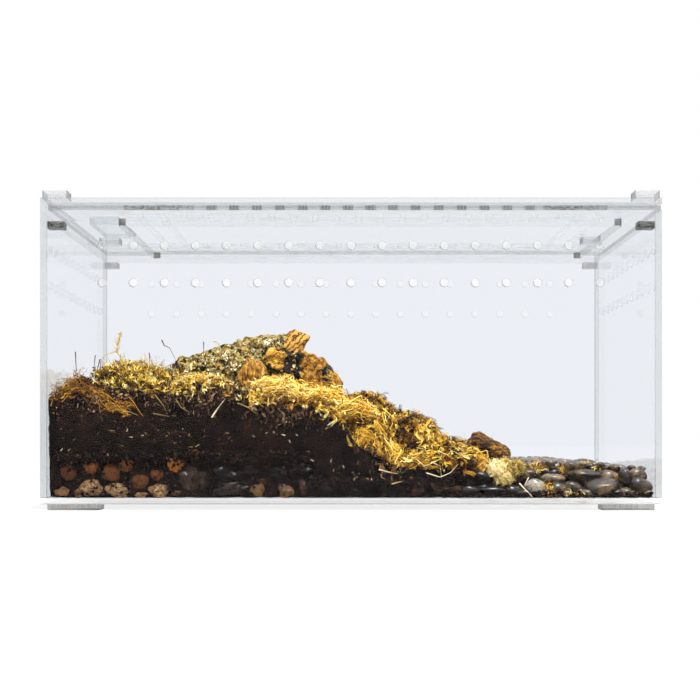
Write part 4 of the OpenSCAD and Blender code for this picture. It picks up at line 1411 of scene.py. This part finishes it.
# The frayed line: dead brown fibres with a few pale ones, along the soil's top.
amount = 2600
x = rng.uniform(-145, 24, amount)
z = np.interp(x, line_x, line_z) + rng.normal(-1.6, 2.8, amount)
places = np.stack([x, rng.uniform(-96, -92.5, amount), z], axis=1) * MM
spread = ways(amount, rng)
tones = np.clip(rng.normal(0.50, 0.27, amount), 0, 1)
mesh = strewn(hairs + locks[:4], places, spread * (1, 0.3, 1), spread[::-1] + (0, -0.6, 0),
              rng.uniform(0.15, 0.5, amount), tones, rng)
piece("frayed_line", mesh, bits_look, ["soil_bed"])

# ----------------------------------------------------- sprigs and roots
# Dry stems that stand up out of the moss, and pale roots and straws that lie
# against the front wall. The roots are too thin to be solids of their own.

twig_look = toned("dry_twig", 0.7, (0, (0.03, 0.022, 0.012)), (0.4, (0.22, 0.15, 0.04)),
                  (0.7, (0.62, 0.46, 0.16)), (1, (0.85, 0.74, 0.52)))


def twig(points, thick):
    """A thread through points in millimetres, rounded off at its bends."""
    points = [Vector(point) for point in points]
    path = [points[0]]
    for a, b in zip(points, points[1:]):
        path += [a.lerp(b, 0.33), a.lerp(b, 0.67), b]
    return thread([point * MM for point in path], thick / 2 * MM)


# Points, thickness and how pale each standing stem is.
STEMS = [([(-118.1, -50, 88.8), (-119.5, -50, 83), (-120.2, -50, 79.5), (-114.5, -49, 70)], 1.1, 0.6),
         ([(-120.2, -50, 79.5), (-126.5, -50, 77.5), (-128, -49, 70)], 0.8, 0.6),
         ([(-137.9, -70, 78.2), (-137.6, -70, 71), (-136.8, -69, 64)], 0.7, 0.1),
         ([(-136.9, -70, 67), (-133.5, -70, 71)], 0.5, 0.8),
         ([(-99.3, -30, 86.5), (-98, -30, 83.6), (-95.2, -30, 82.4), (-92, -29, 76)], 0.8, 0.12),
         ([(-77.3, -30, 85.6), (-77.3, -30, 76)], 0.6, 0.1),
         ([(-72.1, -30, 85.9), (-69.8, -30, 85.4), (-68.6, -30, 82.5), (-68, -30, 76)], 0.9, 0.75),
         ([(-129.5, -60, 77), (-130, -60, 72), (-131, -60, 64)], 0.6, 0.1),
         ([(-127, -60, 75), (-128.5, -60, 70), (-128.5, -60, 64)], 0.7, 0.08),
         ([(-104, -45, 79), (-103.6, -45, 72)], 0.7, 0.1)]
stems = [twig(points, thick) for points, thick, _ in STEMS]
tones = [bright for _, _, bright in STEMS]
for i in range(110):
    t = i / 110
    a, b, c = Vector((-118.1, -50, 88.8)), Vector((-120.2, -50, 79.5)), Vector((-114.5, -49, 70))
    root = a.lerp(b, 2 * t) if t < 0.5 else b.lerp(c, 2 * t - 1)
    out = Vector((chance.uniform(-1, 1), chance.uniform(-1, 1), 0.5)) * chance.uniform(1.2, 2.9)
    stems.append(twig([root, root + out], 0.42))
    tones.append(chance.uniform(0.55, 0.95))
for _ in range(44):
    x, y = chance.uniform(-129, -93), chance.uniform(-62, -34)
    foot = Vector((x, y, chance.uniform(67, 71)))
    tip = foot + Vector((chance.uniform(-5, 5), chance.uniform(-2, 2), chance.uniform(3, 8.5)))
    bend = foot.lerp(tip, 0.5) + Vector((chance.uniform(-2.4, 2.4), 0, 0))
    stems.append(twig([foot, bend, tip], chance.uniform(0.4, 0.7)))
    tones.append(chance.choice((0.08, 0.4, 0.55, 0.7, 0.8)))
piece("dry_sprigs", gather(stems, tones), twig_look, ["sprigs"])

# Just behind the front wall's inner face.
GLASS = -96.4
# Points along the front wall, thickness and how pale each root or straw is.
ROOTS = [([(-67.5, 45), (-64.5, 49.5), (-61, 54)], 1.0, 0.9),
         ([(-95, 56), (-91, 51), (-89.5, 48)], 0.45, 0.45),
         ([(-85, 54), (-82.5, 50), (-78.5, 47.5)], 0.45, 0.45),
         ([(13.5, 19.9), (18, 18.6), (22.3, 17.8)], 0.8, 0.95),
         ([(19.7, 12.8), (24.7, 14.1)], 0.7, 0.7),
         ([(31.7, 24.8), (35.6, 21.4), (39.7, 23.1), (43.1, 21.5), (43.8, 16.5)], 0.6, 0.85),
         ([(36.5, 18.2), (43.1, 16.1), (48.1, 18.2), (51.9, 22.4)], 0.6, 0.95),
         ([(81.5, 13.1), (84, 10.5), (87.8, 6.6)], 0.7, 1.0), ([(86, 16), (84, 12)], 0.5, 1.0),
         ([(-114, 49), (-108, 48), (-103, 46)], 0.6, 0.45), ([(-96, 47), (-88, 45.5)], 0.6, 0.4),
         ([(-55, 52), (-50, 50), (-46, 47)], 0.6, 0.5)]
roots, tones = [], []
for points, thick, bright in ROOTS:
    roots.append(twig([(x, GLASS + 0.2 * (i % 2), z) for i, (x, z) in enumerate(points)], thick))
    tones.append(bright)
for _ in range(110):
    x = chance.uniform(-143, 20)
    start = Vector((x, GLASS, chance.uniform(26, 55) if x < -20 else chance.uniform(14, 24)))
    turn = chance.uniform(0, 3.14)
    reach = chance.uniform(0.5, 2.2)
    step = Vector((math.cos(turn) * reach, 0, math.sin(turn) * reach))
    roots.append(twig([start, start + step], chance.uniform(0.2, 0.45)))
    tones.append(chance.choice((0.3, 0.35, 0.4, 0.6, 0.9)))
piece("pale_roots", gather(roots, tones), twig_look, ["sprigs"])
